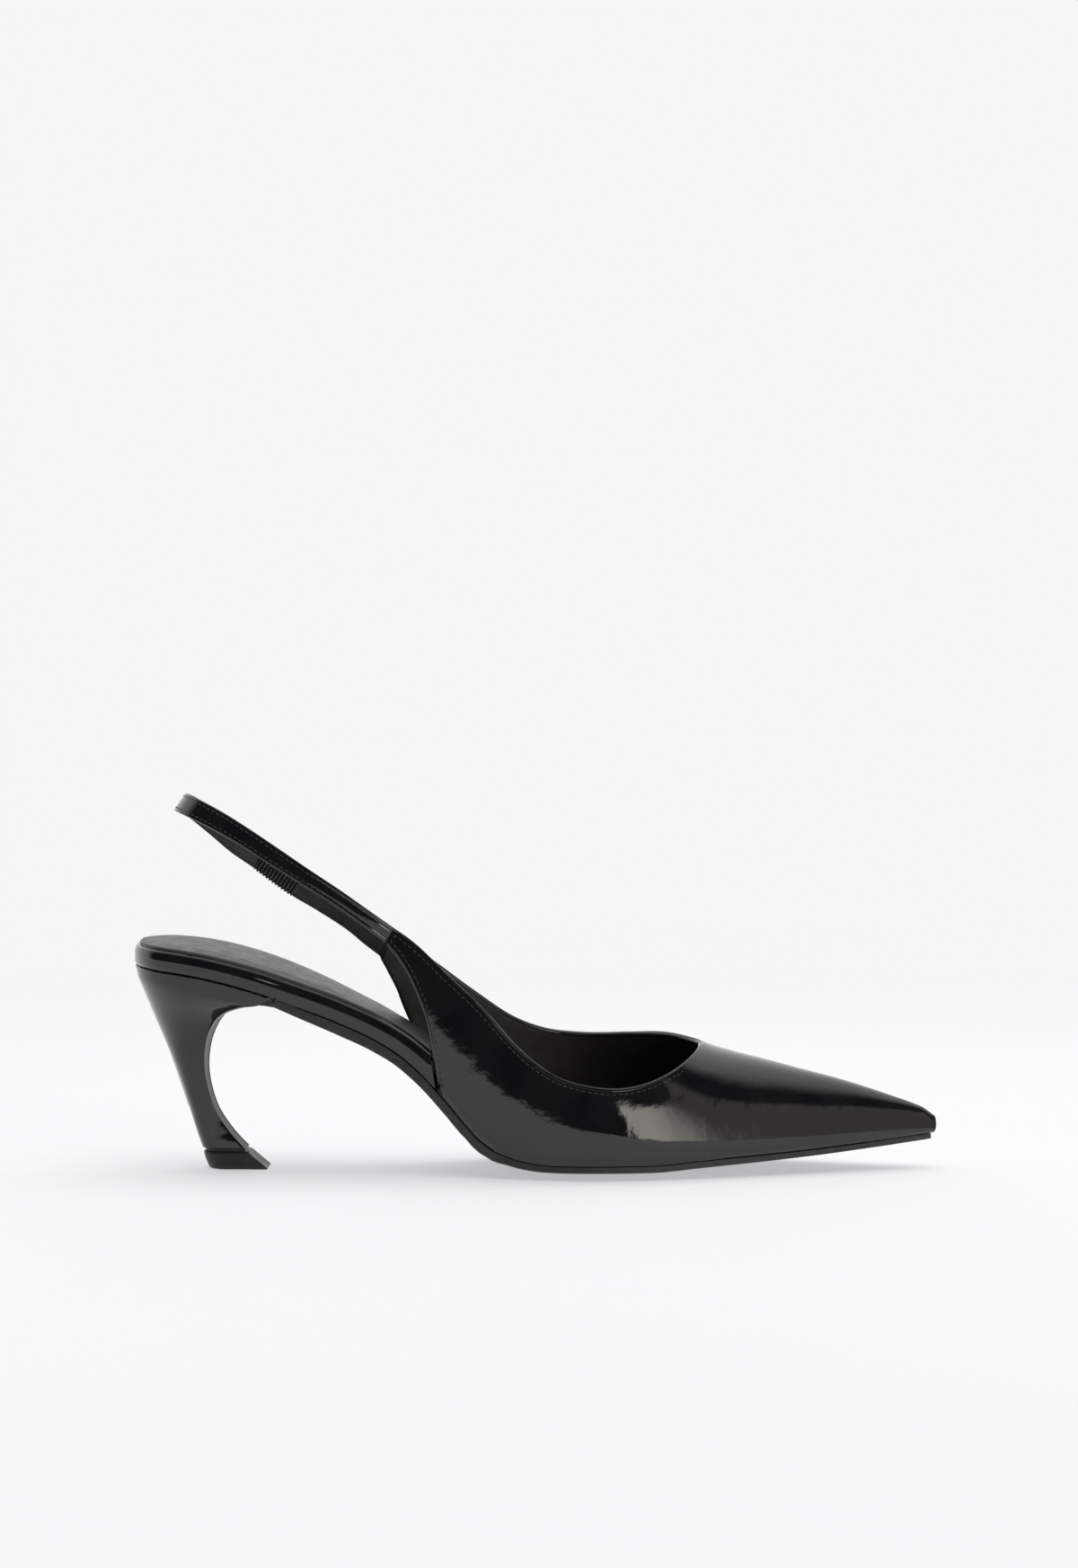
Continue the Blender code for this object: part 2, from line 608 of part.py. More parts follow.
PATENT_LOOK = ((0.012, 0.012, 0.013), 0.06)
LINING_LOOK = ((0.02, 0.019, 0.015), 0.5)
SOCK_LOOK = ((0.03, 0.029, 0.032), 0.35)
SOLE_LOOK = ((0.02, 0.02, 0.022), 0.45)
BOARD_LOOK = ((0.42, 0.33, 0.22), 0.85)
SHANK_LOOK = ((0.25, 0.2, 0.15), 0.8)
PAD_LOOK = ((0.75, 0.73, 0.66), 0.95)
FILLER_LOOK = ((0.45, 0.3, 0.17), 0.95)
PUFF_LOOK = ((0.7, 0.68, 0.6), 0.8)
TAPE_LOOK = ((0.8, 0.8, 0.78), 0.8)
ELASTIC_LOOK = ((0.03, 0.03, 0.03), 0.8)
CORE_LOOK = ((0.35, 0.35, 0.33), 0.5)
TIP_LOOK = ((0.015, 0.015, 0.016), 0.3)
STEEL_LOOK = ((0.6, 0.6, 0.6), 0.3, 1.0)
BRASS_LOOK = ((0.75, 0.55, 0.25), 0.3, 1.0)
CUTTER = ((1.0, 0.1, 0.1), 0.5)

for old in list(bpy.data.objects):
    bpy.data.objects.remove(old)
parts = bpy.data.collections.new("high_heel_pump")
cutters = bpy.data.collections.new("cutters")
for collection in (parts, cutters):
    bpy.context.scene.collection.children.link(collection)

make_upper()
make_rim_cover()
make_outsole()
bed_pieces = make_foot_bed()
heel = make_heel()
make_fasteners(*bed_pieces, heel)
make_strap()
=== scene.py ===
"""Looks of the slingback pump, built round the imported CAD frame.

As in the part's source, shapes are worked out in millimetres with X measured from the back of the foot bed,
and in_metres() moves them to the frame. The profile functions are the same as the CAD model's.
"""

import json
from math import cos, hypot, pi, radians, sin

import bmesh
import bpy
import numpy as np
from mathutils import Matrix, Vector


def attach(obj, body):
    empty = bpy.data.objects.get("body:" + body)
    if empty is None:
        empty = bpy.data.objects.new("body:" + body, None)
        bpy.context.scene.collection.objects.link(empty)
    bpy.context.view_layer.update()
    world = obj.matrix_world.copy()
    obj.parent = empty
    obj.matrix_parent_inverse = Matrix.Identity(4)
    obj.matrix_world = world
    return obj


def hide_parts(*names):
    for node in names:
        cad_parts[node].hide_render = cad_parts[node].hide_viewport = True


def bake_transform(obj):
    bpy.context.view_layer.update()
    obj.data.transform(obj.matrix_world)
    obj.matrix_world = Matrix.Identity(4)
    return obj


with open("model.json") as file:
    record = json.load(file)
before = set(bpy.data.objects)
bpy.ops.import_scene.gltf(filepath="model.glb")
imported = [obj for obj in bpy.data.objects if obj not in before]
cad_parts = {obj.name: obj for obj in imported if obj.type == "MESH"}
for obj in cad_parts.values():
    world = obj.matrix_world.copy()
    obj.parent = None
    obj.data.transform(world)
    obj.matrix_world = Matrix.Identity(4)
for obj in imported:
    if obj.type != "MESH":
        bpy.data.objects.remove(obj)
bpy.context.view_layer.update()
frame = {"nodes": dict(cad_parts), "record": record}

MM = 0.001
LENGTH = 250.0
LATERAL, MEDIAL = -1, 1
SIDES = (LATERAL, MEDIAL)

# ---- profiles, the same as the CAD model's -----------------------------------------------------------------

PATENT = 0.9
LINING = 0.8
LINING_DEPTH = 0.95
RIM_TOP = 1.2
RIM_BOTTOM = -5.3
SOLE_TOP = -5.6
TURN_IN = 9.0
UNDERCUT = 1.3
THROAT = 177.5
LINING_END = 240.0
BREAST_TOP = 46.0
STRAP_LEAN = np.array((0.53, 0.0, 0.85)) / hypot(0.53, 0.85)
TIP_HEIGHT = 5.9
FLAP = 1.1


def curve(*points):
    """A smooth line through (place, value) points, level beyond its ends."""
    places, values = np.array(points, float).T
    slopes = np.gradient(values, places)

    def at(place):
        place = np.clip(place, places[0], places[-1])
        i = np.clip(np.searchsorted(places, place) - 1, 0, len(places) - 2)
        span = places[i + 1] - places[i]
        t = (place - places[i]) / span
        start = values[i] * (1 + 2 * t) + slopes[i] * span * t
        end = values[i + 1] * (3 - 2 * t) - slopes[i + 1] * span * (1 - t)
        return start * (1 - t) ** 2 + end * t**2

    return at


def straight(*points):
    places, values = np.array(points, float).T
    return lambda place: np.interp(place, places, values)


def ease(value):
    t = min(max(value, 0.0), 1.0)
    return t * t * (3 - 2 * t)


# Height of the insole board's upper face along the middle of the foot bed
bed = curve(
    (0, 69.4), (10, 68.7), (20, 67.5), (30, 65.4), (41, 62.2), (52, 58.2), (60, 55.0), (68, 51.4), (77, 46.9),
    (85, 41.9), (92, 36.0), (99, 28.6), (104, 22.7), (110, 15.9), (114, 12.4), (119.5, 9.6), (125, 8.2),
    (131, 7.7), (138, 7.6), (144, 7.6), (150, 7.6), (156, 7.6), (163, 7.7), (175, 8.7), (190, 10.0),
    (207, 11.7), (229, 14.2), (250, 16.3),
)
sole_thickness = curve(
    (40, 1.6), (50, 2.6), (62, 3.1), (85, 3.0), (110, 2.3), (131, 2.0), (165, 2.0), (250, 1.6),
)
# Half widths of the foot bed and upper, squared so that both ends are round
outline = {
    LATERAL: curve(
        (0, 0), (5, 289), (15, 600), (30, 729), (50, 590), (70, 510), (90, 625), (110, 961), (125, 1260),
        (140, 1444), (160, 1300), (175, 1024), (190, 702), (205, 420), (220, 210), (235, 72), (243, 27),
        (250, 4),
    ),
    MEDIAL: curve(
        (0, 0), (5, 289), (15, 600), (30, 729), (50, 530), (70, 370), (90, 380), (110, 676), (125, 1090),
        (140, 1400), (152, 1444), (160, 1420), (175, 1156), (190, 784), (205, 462), (220, 225), (235, 72),
        (243, 27), (250, 4),
    ),
}
# The last's top line, which the closed vamp follows in front of the throat
ridge = curve(
    (72, 106), (85, 99), (100, 90), (120, 76), (140, 62), (160, 49.5), (170, 43.6), (177.5, 39.6),
    (186.6, 36.7), (198, 33.8), (209.6, 30.7), (219.6, 28.1), (228.2, 25.5), (236.2, 22.8), (243.3, 20.3),
    (247, 18.7), (250, 16.5),
)
fullness = curve((75, 3.4), (95, 3.0), (150, 2.4), (180, 2.15), (250, 2.05))
topline = {
    LATERAL: curve(
        (81.5, 76.3), (87.3, 72.3), (98.5, 61.9), (109.8, 51.4), (119.5, 40.8), (129.9, 32.7), (141.7, 28.8),
        (154.3, 28.3), (168.8, 33.5), (177.5, 39.6),
    ),
    MEDIAL: curve(
        (80.2, 72.7), (85, 69.5), (91.6, 64.8), (105.9, 54.0), (119.1, 45.0), (128, 41.6), (140, 40.0),
        (156, 40.4), (167, 41.0), (177.5, 39.6),
    ),
}
# Place of the quarter's back edge against the share of its height, from sole to topline
quarter_back = {
    LATERAL: curve(
        (0, 95.4), (0.16, 94.3), (0.3, 93.2), (0.45, 91.5), (0.635, 88), (0.74, 85.4), (0.835, 82.2),
        (0.91, 79.4), (1, 81.9),
    ),
    MEDIAL: curve((0, 90.5), (0.3, 85.4), (0.45, 82.8), (0.56, 81.2), (0.71, 78.2), (0.84, 75.9), (1, 80.2)),
}
sock_inset = straight((0, 1.6), (76, 1.6), (82, 3.6), (190, 3.6), (215, 4.6), (230, 5.6))


def roll(x):
    """How far the bed leans up towards the inner side, which it does at the heel."""
    return 1.1 * (1 - ease((x - 45) / 35)) * (0.6 + 0.4 * ease(x / 12))


def crown(x):
    """How far the bed's edges curl up, which they do under the ball."""
    return 2.2 * ease((x - 70) / 50) * (1 - ease((x - 165) / 75))


def half_width(side, x):
    return np.sqrt(max(outline[side](x), 0.0))


def place(x, y, level):
    """The point at this level of the foot bed's layers, measured square to the bed."""
    side = LATERAL if y < 0 else MEDIAL
    share = min(abs(y) / max(half_width(side, x), 0.5), 1.0)
    slope = (bed(x + 0.5) - bed(x - 0.5)) / (min(x + 0.5, LENGTH) - max(x - 0.5, 0))
    rise = side * share * roll(x) + crown(x) * ease((share - 0.3) / 0.7)
    return np.array((x, y, bed(x) + rise + level * hypot(1, slope)))


def edge(side, x, inset):
    """The plan point on the outline at x, moved in square to the outline."""
    low, high = max(x - 0.3, 0.0), min(x + 0.3, LENGTH)
    run = np.array((high - low, half_width(side, high) - half_width(side, low)))
    run /= np.linalg.norm(run)
    return np.array((x + run[1] * inset, side * max(half_width(side, x) - run[0] * inset, 0.4)))


def wall_y(side, x, z):
    """How far out the upper's outer face is at this place and height."""
    foot = place(x, side * half_width(side, x), RIM_BOTTOM)[2]
    share = min(max((z - foot) / (ridge(x) - foot), 0.0), 1.0)
    power = fullness(x)
    out = half_width(side, x) * (1 - share**power) ** (1 / power)
    return side * max(out - UNDERCUT * max(0.0, 1 - share / 0.2) ** 2, 0.0)


# ---- meshes ------------------------------------------------------------------------------------------------


def in_metres(point):
    return Vector(((point[0] - LENGTH / 2) * MM, point[1] * MM, point[2] * MM))


def unit(vectors):
    length = np.linalg.norm(vectors, axis=-1, keepdims=True)
    return vectors / np.maximum(length, 1e-9)


def finish_mesh(name, bm, look, sharp=0.9):
    bmesh.ops.remove_doubles(bm, verts=bm.verts, dist=1e-7)
    bmesh.ops.recalc_face_normals(bm, faces=bm.faces)
    mesh = bpy.data.meshes.new(name)
    bm.to_mesh(mesh)
    bm.free()
    mesh.shade_smooth()
    mesh.set_sharp_from_angle(angle=sharp)
    mesh.materials.append(look)
    obj = bpy.data.objects.new(name, mesh)
    bpy.context.scene.collection.objects.link(obj)
    return obj


def add_grid(bm, grid, ring=False, skip=None):
    rows = [[bm.verts.new(in_metres(point)) for point in row] for row in grid]
    count = len(rows[0])
    for i, (row, after) in enumerate(zip(rows, rows[1:])):
        for j in range(count if ring else count - 1):
            if skip and skip(i, j):
                continue
            k = (j + 1) % count
            bm.faces.new((row[j], row[k], after[k], after[j]))
    return rows


def loft(name, rings, look, sharp=0.9):
    """A closed solid through rings of points."""
    bm = bmesh.new()
    rows = add_grid(bm, rings, ring=True)
    bm.faces.new(rows[0])
    bm.faces.new(rows[-1])
    return finish_mesh(name, bm, look, sharp)


def grid_normals(grid, outward):
    """Unit normals of a grid of points, turned to face outward(point)."""
    grid = np.asarray(grid, float)
    along = np.gradient(grid, axis=0)
    across = np.gradient(grid, axis=1)
    normals = unit(np.cross(along, across))
    facing = np.einsum("ijk,ijk->ij", normals, outward(grid))
    return normals * np.where(facing < 0, -1.0, 1.0)[..., None]


def modifier(obj, kind, **values):
    made = obj.modifiers.new(kind.title(), kind)
    for key, value in values.items():
        setattr(made, key, value)
    return made


def thicken(obj, thickness):
    return modifier(obj, "SOLIDIFY", thickness=thickness * MM, offset=-1, use_even_offset=True)


def rounded_bar(width, depth, radius, across=15, dip=0.0, dip_place=1.3):
    """(across, depth) points round a flat bar; dip sinks a line beside each long edge, as stitching does."""
    face = []
    for k in range(across):
        u = radius + (width - 2 * radius) * k / (across - 1)
        beside = min(u, width - u)
        face.append((u, dip * np.exp(-(((beside - dip_place) / 0.35) ** 2))))
    arc = [(sin(radians(a)), cos(radians(a))) for a in (22.5, 45, 67.5, 90)]
    right = [(width - radius + radius * s, radius * (1 - c)) for s, c in arc]
    right += [(width - radius + radius * s, depth - radius * (1 - c)) for s, c in reversed(arc)]
    back = [(width - radius - (width - 2 * radius) * k / 4, depth) for k in range(5)]
    left = [(width - u, d) for u, d in reversed(right)]
    return face + right + back + left


def tube(name, path, radius, look, sides=12, flat=1.0, lead=None):
    """A round cord along a path, closed by tapering to both ends."""
    path = np.asarray(path, float)
    tangents = unit(np.gradient(path, axis=0))
    lead = np.broadcast_to(np.array((0.0, 0, 1)) if lead is None else np.asarray(lead, float), path.shape)
    sideways = unit(np.cross(tangents, lead))
    upward = np.cross(sideways, tangents)
    count = len(path)
    rings = []
    for k in range(count):
        near_end = min(k, count - 1 - k)
        size = radius * (0.35, 0.75, 0.93, 1.0)[min(near_end, 3)]
        turns = [2 * pi * s / sides for s in range(sides)]
        rings.append([path[k] + size * (sideways[k] * cos(a) + flat * upward[k] * sin(a)) for a in turns])
    return loft(name, rings, look, sharp=1.4)


def resample(path, step, *others):
    """The path at even spacing, with any other lists of vectors along it."""
    path = np.asarray(path, float)
    runs = np.concatenate(([0], np.cumsum(np.linalg.norm(np.diff(path, axis=0), axis=1))))
    stops = np.linspace(0, runs[-1], max(int(round(runs[-1] / step)), 2) + 1)
    found = []
    for values in (path, *others):
        values = np.asarray(values, float)
        found.append(np.stack([np.interp(stops, runs, values[:, axis]) for axis in range(3)], axis=1))
    return found if others else found[0]


STITCH_LENGTH, STITCH_PITCH, STITCH_RADIUS = 1.45, 1.9, 0.17


def stitches(name, routes, look):
    """One mesh of thread stitches along each (path, outward normals) route."""
    bm = bmesh.new()
    for path, outward in routes:
        path, outward = resample(path, STITCH_PITCH, outward)
        tangents = unit(np.gradient(path, axis=0))
        for centre, tangent, normal in zip(path[1:-1], tangents[1:-1], unit(outward[1:-1])):
            side = np.cross(tangent, normal)
            rings = []
            for share in (-1, -0.8, -0.35, 0.35, 0.8, 1):
                size = STITCH_RADIUS * (1 - 0.75 * share**4)
                sink = 0.14 * share**4
                middle = centre + tangent * share * STITCH_LENGTH / 2 - normal * sink
                ring = [middle + size * (side * cos(k * pi / 3) + normal * sin(k * pi / 3)) for k in range(6)]
                rings.append(ring)
            rows = add_grid(bm, rings, ring=True)
            bm.faces.new(rows[0])
            bm.faces.new(rows[-1])
    bmesh.ops.recalc_face_normals(bm, faces=bm.faces)
    return finish_mesh(name, bm, look, sharp=1.4)


# ---- materials ---------------------------------------------------------------------------------------------


class Look:
    """A Principled material with object-space noise for its colour, roughness and bump."""

    def __init__(self, name, colour, roughness, **sockets):
        self.material = bpy.data.materials.new(name)
        self.material.use_nodes = True
        self.tree = self.material.node_tree
        self.shader = self.tree.nodes["Principled BSDF"]
        self.shader.inputs["Base Color"].default_value = (*colour, 1)
        self.shader.inputs["Roughness"].default_value = roughness
        for socket, value in sockets.items():
            self.shader.inputs[socket.replace("_", " ")].default_value = value
        self.colour, self.roughness = colour, roughness
        self.where = self.node("ShaderNodeTexCoord").outputs["Object"]
        self.bump = None

    def node(self, kind, **values):
        made = self.tree.nodes.new(kind)
        for key, value in values.items():
            setattr(made, key, value)
        return made

    def link(self, source, target):
        self.tree.links.new(source, target)

    def noise(self, scale, detail=3.0, stretch=(1, 1, 1), distortion=0.0):
        mapping = self.node("ShaderNodeMapping")
        mapping.inputs["Scale"].default_value = stretch
        self.link(self.where, mapping.inputs["Vector"])
        texture = self.node("ShaderNodeTexNoise")
        texture.inputs["Scale"].default_value = scale
        texture.inputs["Detail"].default_value = detail
        texture.inputs["Distortion"].default_value = distortion
        self.link(mapping.outputs[0], texture.inputs["Vector"])
        return texture.outputs["Fac"]

    def cells(self, scale, feature="F1"):
        texture = self.node("ShaderNodeTexVoronoi", feature=feature)
        texture.inputs["Scale"].default_value = scale
        self.link(self.where, texture.inputs["Vector"])
        return texture.outputs["Distance"]

    def waves(self, scale, direction="X", distortion=1.0):
        texture = self.node("ShaderNodeTexWave", bands_direction=direction)
        texture.inputs["Scale"].default_value = scale
        texture.inputs["Distortion"].default_value = distortion
        self.link(self.where, texture.inputs["Vector"])
        return texture.outputs["Fac"]

    def range(self, value, low, high, start=0.3, stop=0.7):
        mapped = self.node("ShaderNodeMapRange", interpolation_type="SMOOTHSTEP")
        for socket, number in (("From Min", start), ("From Max", stop), ("To Min", low), ("To Max", high)):
            mapped.inputs[socket].default_value = number
        self.link(value, mapped.inputs["Value"])
        return mapped.outputs["Result"]

    def vary_colour(self, value, other, start=0.3, stop=0.7):
        mix = self.node("ShaderNodeMix", data_type="RGBA")
        self.link(self.range(value, 0, 1, start, stop), mix.inputs["Factor"])
        mix.inputs["A"].default_value = (*self.colour, 1)
        mix.inputs["B"].default_value = (*other, 1)
        self.link(mix.outputs["Result"], self.shader.inputs["Base Color"])
        return self

    def vary_roughness(self, value, other, start=0.3, stop=0.7):
        self.link(self.range(value, self.roughness, other, start, stop), self.shader.inputs["Roughness"])
        return self

    def raise_by(self, value, height, strength=1.0):
        """Bump of this height in millimetres; a second call adds to the first."""
        bump = self.node("ShaderNodeBump")
        bump.inputs["Strength"].default_value = strength
        bump.inputs["Distance"].default_value = height * MM
        self.link(value, bump.inputs["Height"])
        if self.bump:
            self.link(self.bump, bump.inputs["Normal"])
        self.bump = bump.outputs["Normal"]
        self.link(self.bump, self.shader.inputs["Normal"])
        return self


def patent_look(name, ripple):
    gloss = dict(Specular_IOR_Level=0.5, Coat_Weight=0.3, Coat_Roughness=0.01)
    look = Look(name, (0.006, 0.006, 0.0072), 0.03, **gloss)
    look.vary_colour(look.noise(90), (0.011, 0.0105, 0.0115))
    look.vary_roughness(look.noise(700, 4), 0.07, 0.45, 0.8)
    look.raise_by(look.noise(62, 2, distortion=0.4), ripple)
    look.raise_by(look.noise(260, 5), ripple * 0.35)
    return look.material


def grained(name, colour, other, roughness, smoother, scale, height):
    look = Look(name, colour, roughness, Specular_IOR_Level=0.45)
    look.vary_colour(look.noise(160, 5), other)
    look.vary_roughness(look.noise(260, 4), smoother)
    look.raise_by(look.cells(scale), height)
    look.raise_by(look.noise(scale * 2.4, 4), height * 0.5)
    return look.material


def fibrous(name, colour, other, roughness, scale, stretch=(1, 1, 1), height=0.1):
    look = Look(name, colour, roughness)
    look.vary_colour(look.noise(scale, 6, stretch), other)
    look.raise_by(look.noise(scale * 3, 5, stretch), height)
    return look.material


def metal(name, colour, other, stretch):
    look = Look(name, colour, 0.28, Metallic=1.0)
    look.vary_colour(look.noise(300, 4, stretch), other)
    look.vary_roughness(look.noise(900, 3, stretch), 0.42)
    look.raise_by(look.noise(1500, 2, stretch), 0.01)
    return look.material


def woven(name, colour, other, scale):
    look = Look(name, colour, 0.75, Sheen_Weight=0.3)
    look.vary_colour(look.waves(scale, "X"), other)
    look.raise_by(look.waves(scale, "X"), 0.06).raise_by(look.waves(scale, "Z"), 0.06)
    return look.material


PATENT_SKIN = patent_look("patent_leather", 0.16)
PATENT_HEEL = patent_look("patent_heel", 0.05)
PATENT_STRAP = patent_look("patent_strap", 0.05)
PATENT_GATHERED = patent_look("patent_gathered", 0.22)
LINING_LEATHER = grained("lining_leather", (0.022, 0.021, 0.017), (0.032, 0.031, 0.026), 0.5, 0.62, 900, 0.05)
SOCK_LEATHER = grained("sock_leather", (0.03, 0.029, 0.032), (0.042, 0.041, 0.045), 0.34, 0.44, 1100, 0.03)
SOLE_LEATHER = fibrous("sole_leather", (0.016, 0.016, 0.018), (0.03, 0.029, 0.031), 0.5, 240, (1, 1, 4), 0.05)
TOP_PIECE = grained("top_piece_rubber", (0.012, 0.012, 0.013), (0.02, 0.02, 0.021), 0.36, 0.5, 1600, 0.015)
THREAD = woven("thread", (0.008, 0.008, 0.009), (0.02, 0.02, 0.022), 1600)
CAD_LOOKS = {
    "patent_leather": PATENT_SKIN,
    "lining_leather": LINING_LEATHER,
    "sock_leather": SOCK_LEATHER,
    "sole_leather": SOLE_LEATHER,
    "top_piece": TOP_PIECE,
    "insole_board": fibrous("insole_board", (0.42, 0.33, 0.22), (0.5, 0.41, 0.29), 0.85, 300),
    "shank_board": fibrous("shank_board", (0.25, 0.2, 0.15), (0.33, 0.27, 0.2), 0.8, 260),
    "spring_steel": metal("spring_steel", (0.55, 0.56, 0.58), (0.45, 0.46, 0.5), (1, 8, 8)),
    "rivet_brass": metal("rivet_brass", (0.72, 0.5, 0.22), (0.6, 0.42, 0.2), (4, 4, 1)),
    "latex_foam": fibrous("latex_foam", (0.75, 0.72, 0.63), (0.68, 0.65, 0.56), 0.95, 700, height=0.2),
    "cork_filler": fibrous("cork_filler", (0.45, 0.3, 0.17), (0.3, 0.18, 0.09), 0.95, 400, height=0.2),
    "stiffener": woven("stiffener", (0.66, 0.64, 0.58), (0.74, 0.72, 0.66), 900),
    "elastic_web": woven("elastic_web", (0.012, 0.012, 0.013), (0.03, 0.03, 0.032), 800),
    "heel_plastic": grained("heel_plastic", (0.33, 0.33, 0.31), (0.38, 0.38, 0.36), 0.45, 0.55, 500, 0.03),
}


def settle(obj, body, slot, *nodes):
    """Puts a finished piece on its body, or only bakes its transform where the body is given as a tuple, and
    hides the CAD nodes that it stands for. The slot argument is not used.
    """
    if isinstance(body, tuple):
        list(body)
        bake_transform(obj)
    else:
        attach(obj, body)
    if nodes:
        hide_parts(*nodes)
    return obj


# ---- upper -------------------------------------------------------------------------------------------------

COLUMNS = 26
TOE_NOSE = 1.0
FOLD = 0.85


def wall_point(side, x_top, z_top, lean, share):
    back = quarter_back[side]
    x_foot = x_top + lean * (back(0) - back(1))
    foot = place(x_foot, side * half_width(side, x_foot), RIM_BOTTOM)[2]
    x = x_top + lean * (back(share) - back(1))
    z = foot + (z_top - foot) * share
    return np.array((x, wall_y(side, x, z), z))


def wall_half(side, x_top, z_top, lean):
    """One side of one row: lasting margin, feather line, then up the wall to z_top."""
    back = quarter_back[side]
    x_foot = x_top + lean * (back(0) - back(1))
    foot = place(x_foot, side * half_width(side, x_foot), RIM_BOTTOM)[2]
    power = fullness(x_top)
    share_top = min((z_top - foot) / (ridge(x_top) - foot), 1.0)
    turn_top = np.arcsin(share_top ** (power / 2))
    shares = [(sin(turn_top * j / COLUMNS) ** (2 / power)) / share_top for j in range(COLUMNS + 1)]
    wall = [wall_point(side, x_top, z_top, lean, share) for share in shares]
    feather = abs(wall[0][1])
    inner = max(feather - TURN_IN, min(1.3, feather * 0.4))
    margin = [place(x_foot, side * (inner + (feather - inner) * t), RIM_BOTTOM) for t in (0, 0.5, 0.9)]
    return margin + wall


def open_x(side, share):
    end = quarter_back[side](1)
    return THROAT - (THROAT - end) * share**1.6


def open_lean(side, x):
    end = quarter_back[side](1)
    return ease((116 - x) / (116 - end))


OPEN_SHARES = np.linspace(0, 1, 76)
CLOSED_PLACES = LENGTH - (LENGTH - THROAT) * (1 - np.cos(np.linspace(0, pi / 2, 46)))


def toe_nose():
    """Rows that round the toe's tip off in front of the last."""
    top = ridge(LENGTH)
    first = np.array(wall_half(LATERAL, LENGTH, top, 0) + wall_half(MEDIAL, LENGTH, top, 0)[::-1])
    low, high = first[:, 2].min(), first[:, 2].max()
    middle = np.array((LENGTH, 0, (low + high) / 2))
    rows = []
    for degrees in (88, 74, 56, 36, 18):
        turn = radians(degrees)
        row = middle + (first - middle) * cos(turn)
        row[:, 0] = LENGTH + TOE_NOSE * sin(turn)
        rows.append(list(row))
    return rows


def upper_rows():
    rows = toe_nose()
    for x in CLOSED_PLACES:
        outer, inner = (wall_half(side, x, ridge(x), 0) for side in SIDES)
        rows.append(outer + inner[::-1])
    for share in OPEN_SHARES[1:]:
        halves = []
        for side in SIDES:
            x = open_x(side, share)
            halves.append(wall_half(side, x, topline[side](x), open_lean(side, x)))
        rows.append(halves[0] + halves[1][::-1])
    return np.array(rows)


def away_from_last(grid):
    """Directions that point out of the shoe, from the middle of the last."""
    middle = np.stack([grid[..., 0] * 1.0, grid[..., 1] * 0, bed(grid[..., 0]) + 3], axis=-1)
    middle[..., 0] = np.minimum(grid[..., 0], 236)
    return grid - middle


def edge_lines(side):
    """The topline and the quarter's back edge, with outward normals and the direction out of the leather."""
    lines = {}
    tops, unders = [], []
    for share in OPEN_SHARES:
        x = open_x(side, share)
        lean = open_lean(side, x)
        tops.append(wall_point(side, x, topline[side](x), lean, 1.0))
        unders.append(wall_point(side, x, topline[side](x), lean, 0.9))
    tops, unders = np.array(tops), np.array(unders)
    tops[0], unders[0] = (THROAT, 0, topline[side](THROAT)), (THROAT + 2.5, 0, ridge(THROAT + 2.5))
    lines["top"] = (tops, unders)
    end = quarter_back[side](1)
    backs = [wall_point(side, end, topline[side](end), 1.0, share) for share in np.linspace(0, 1, 40)]
    fronts = [point + np.array((1.5, 0, 0)) for point in backs]
    for point in fronts:
        point[1] = wall_y(side, point[0], point[2])
    lines["back"] = (np.array(backs), np.array(fronts))
    found = {}
    for key, (line, inward) in lines.items():
        tangents = unit(np.gradient(line, axis=0))
        leather = unit(inward - line)
        normals = unit(np.cross(tangents, leather))
        outward = line - np.stack([line[:, 0], line[:, 1] * 0, bed(line[:, 0]) + 3], axis=1)
        normals *= np.where((normals * outward).sum(axis=1) < 0, -1.0, 1.0)[:, None]
        out = unit(np.cross(normals, tangents))
        out *= np.where((out * leather).sum(axis=1) > 0, -1.0, 1.0)[:, None]
        found[key] = (line, normals, out)
    return found


def make_upper():
    rows = upper_rows()
    half = COLUMNS + 4
    bm = bmesh.new()
    verts = add_grid(bm, rows, skip=lambda i, j: j == half - 1)
    bm.faces.new(verts[0])
    skin = finish_mesh("upper_skin", bm, PATENT_SKIN, sharp=1.2)
    thicken(skin, PATENT)
    settle(skin, "shoe", "patent_leather", "vamp_upper")

    margin = 3
    lined = rows[rows[:, half, 0] <= LINING_END][:, margin:-margin]
    middle = half - margin
    inside = lined - grid_normals(lined, away_from_last) * LINING_DEPTH
    for i in range(int(np.argmax(lined[:, middle, 0] < THROAT - 1e-6))):
        inside[i, middle - 1] = inside[i, middle] = lined[i, middle] * (1, 0, 1) - (0, 0, LINING_DEPTH * 1.03)
    bm = bmesh.new()
    add_grid(bm, inside, skip=lambda i, j: j == middle - 1)
    lining = finish_mesh("upper_lining_leather", bm, LINING_LEATHER, sharp=1.2)
    modifier(lining, "SOLIDIFY", thickness=LINING * MM, offset=-1)
    inner = ("upper_lining", "toe_puff", "topline_tape_lateral", "topline_tape_medial")
    settle(lining, "shoe", "lining_leather", *inner)


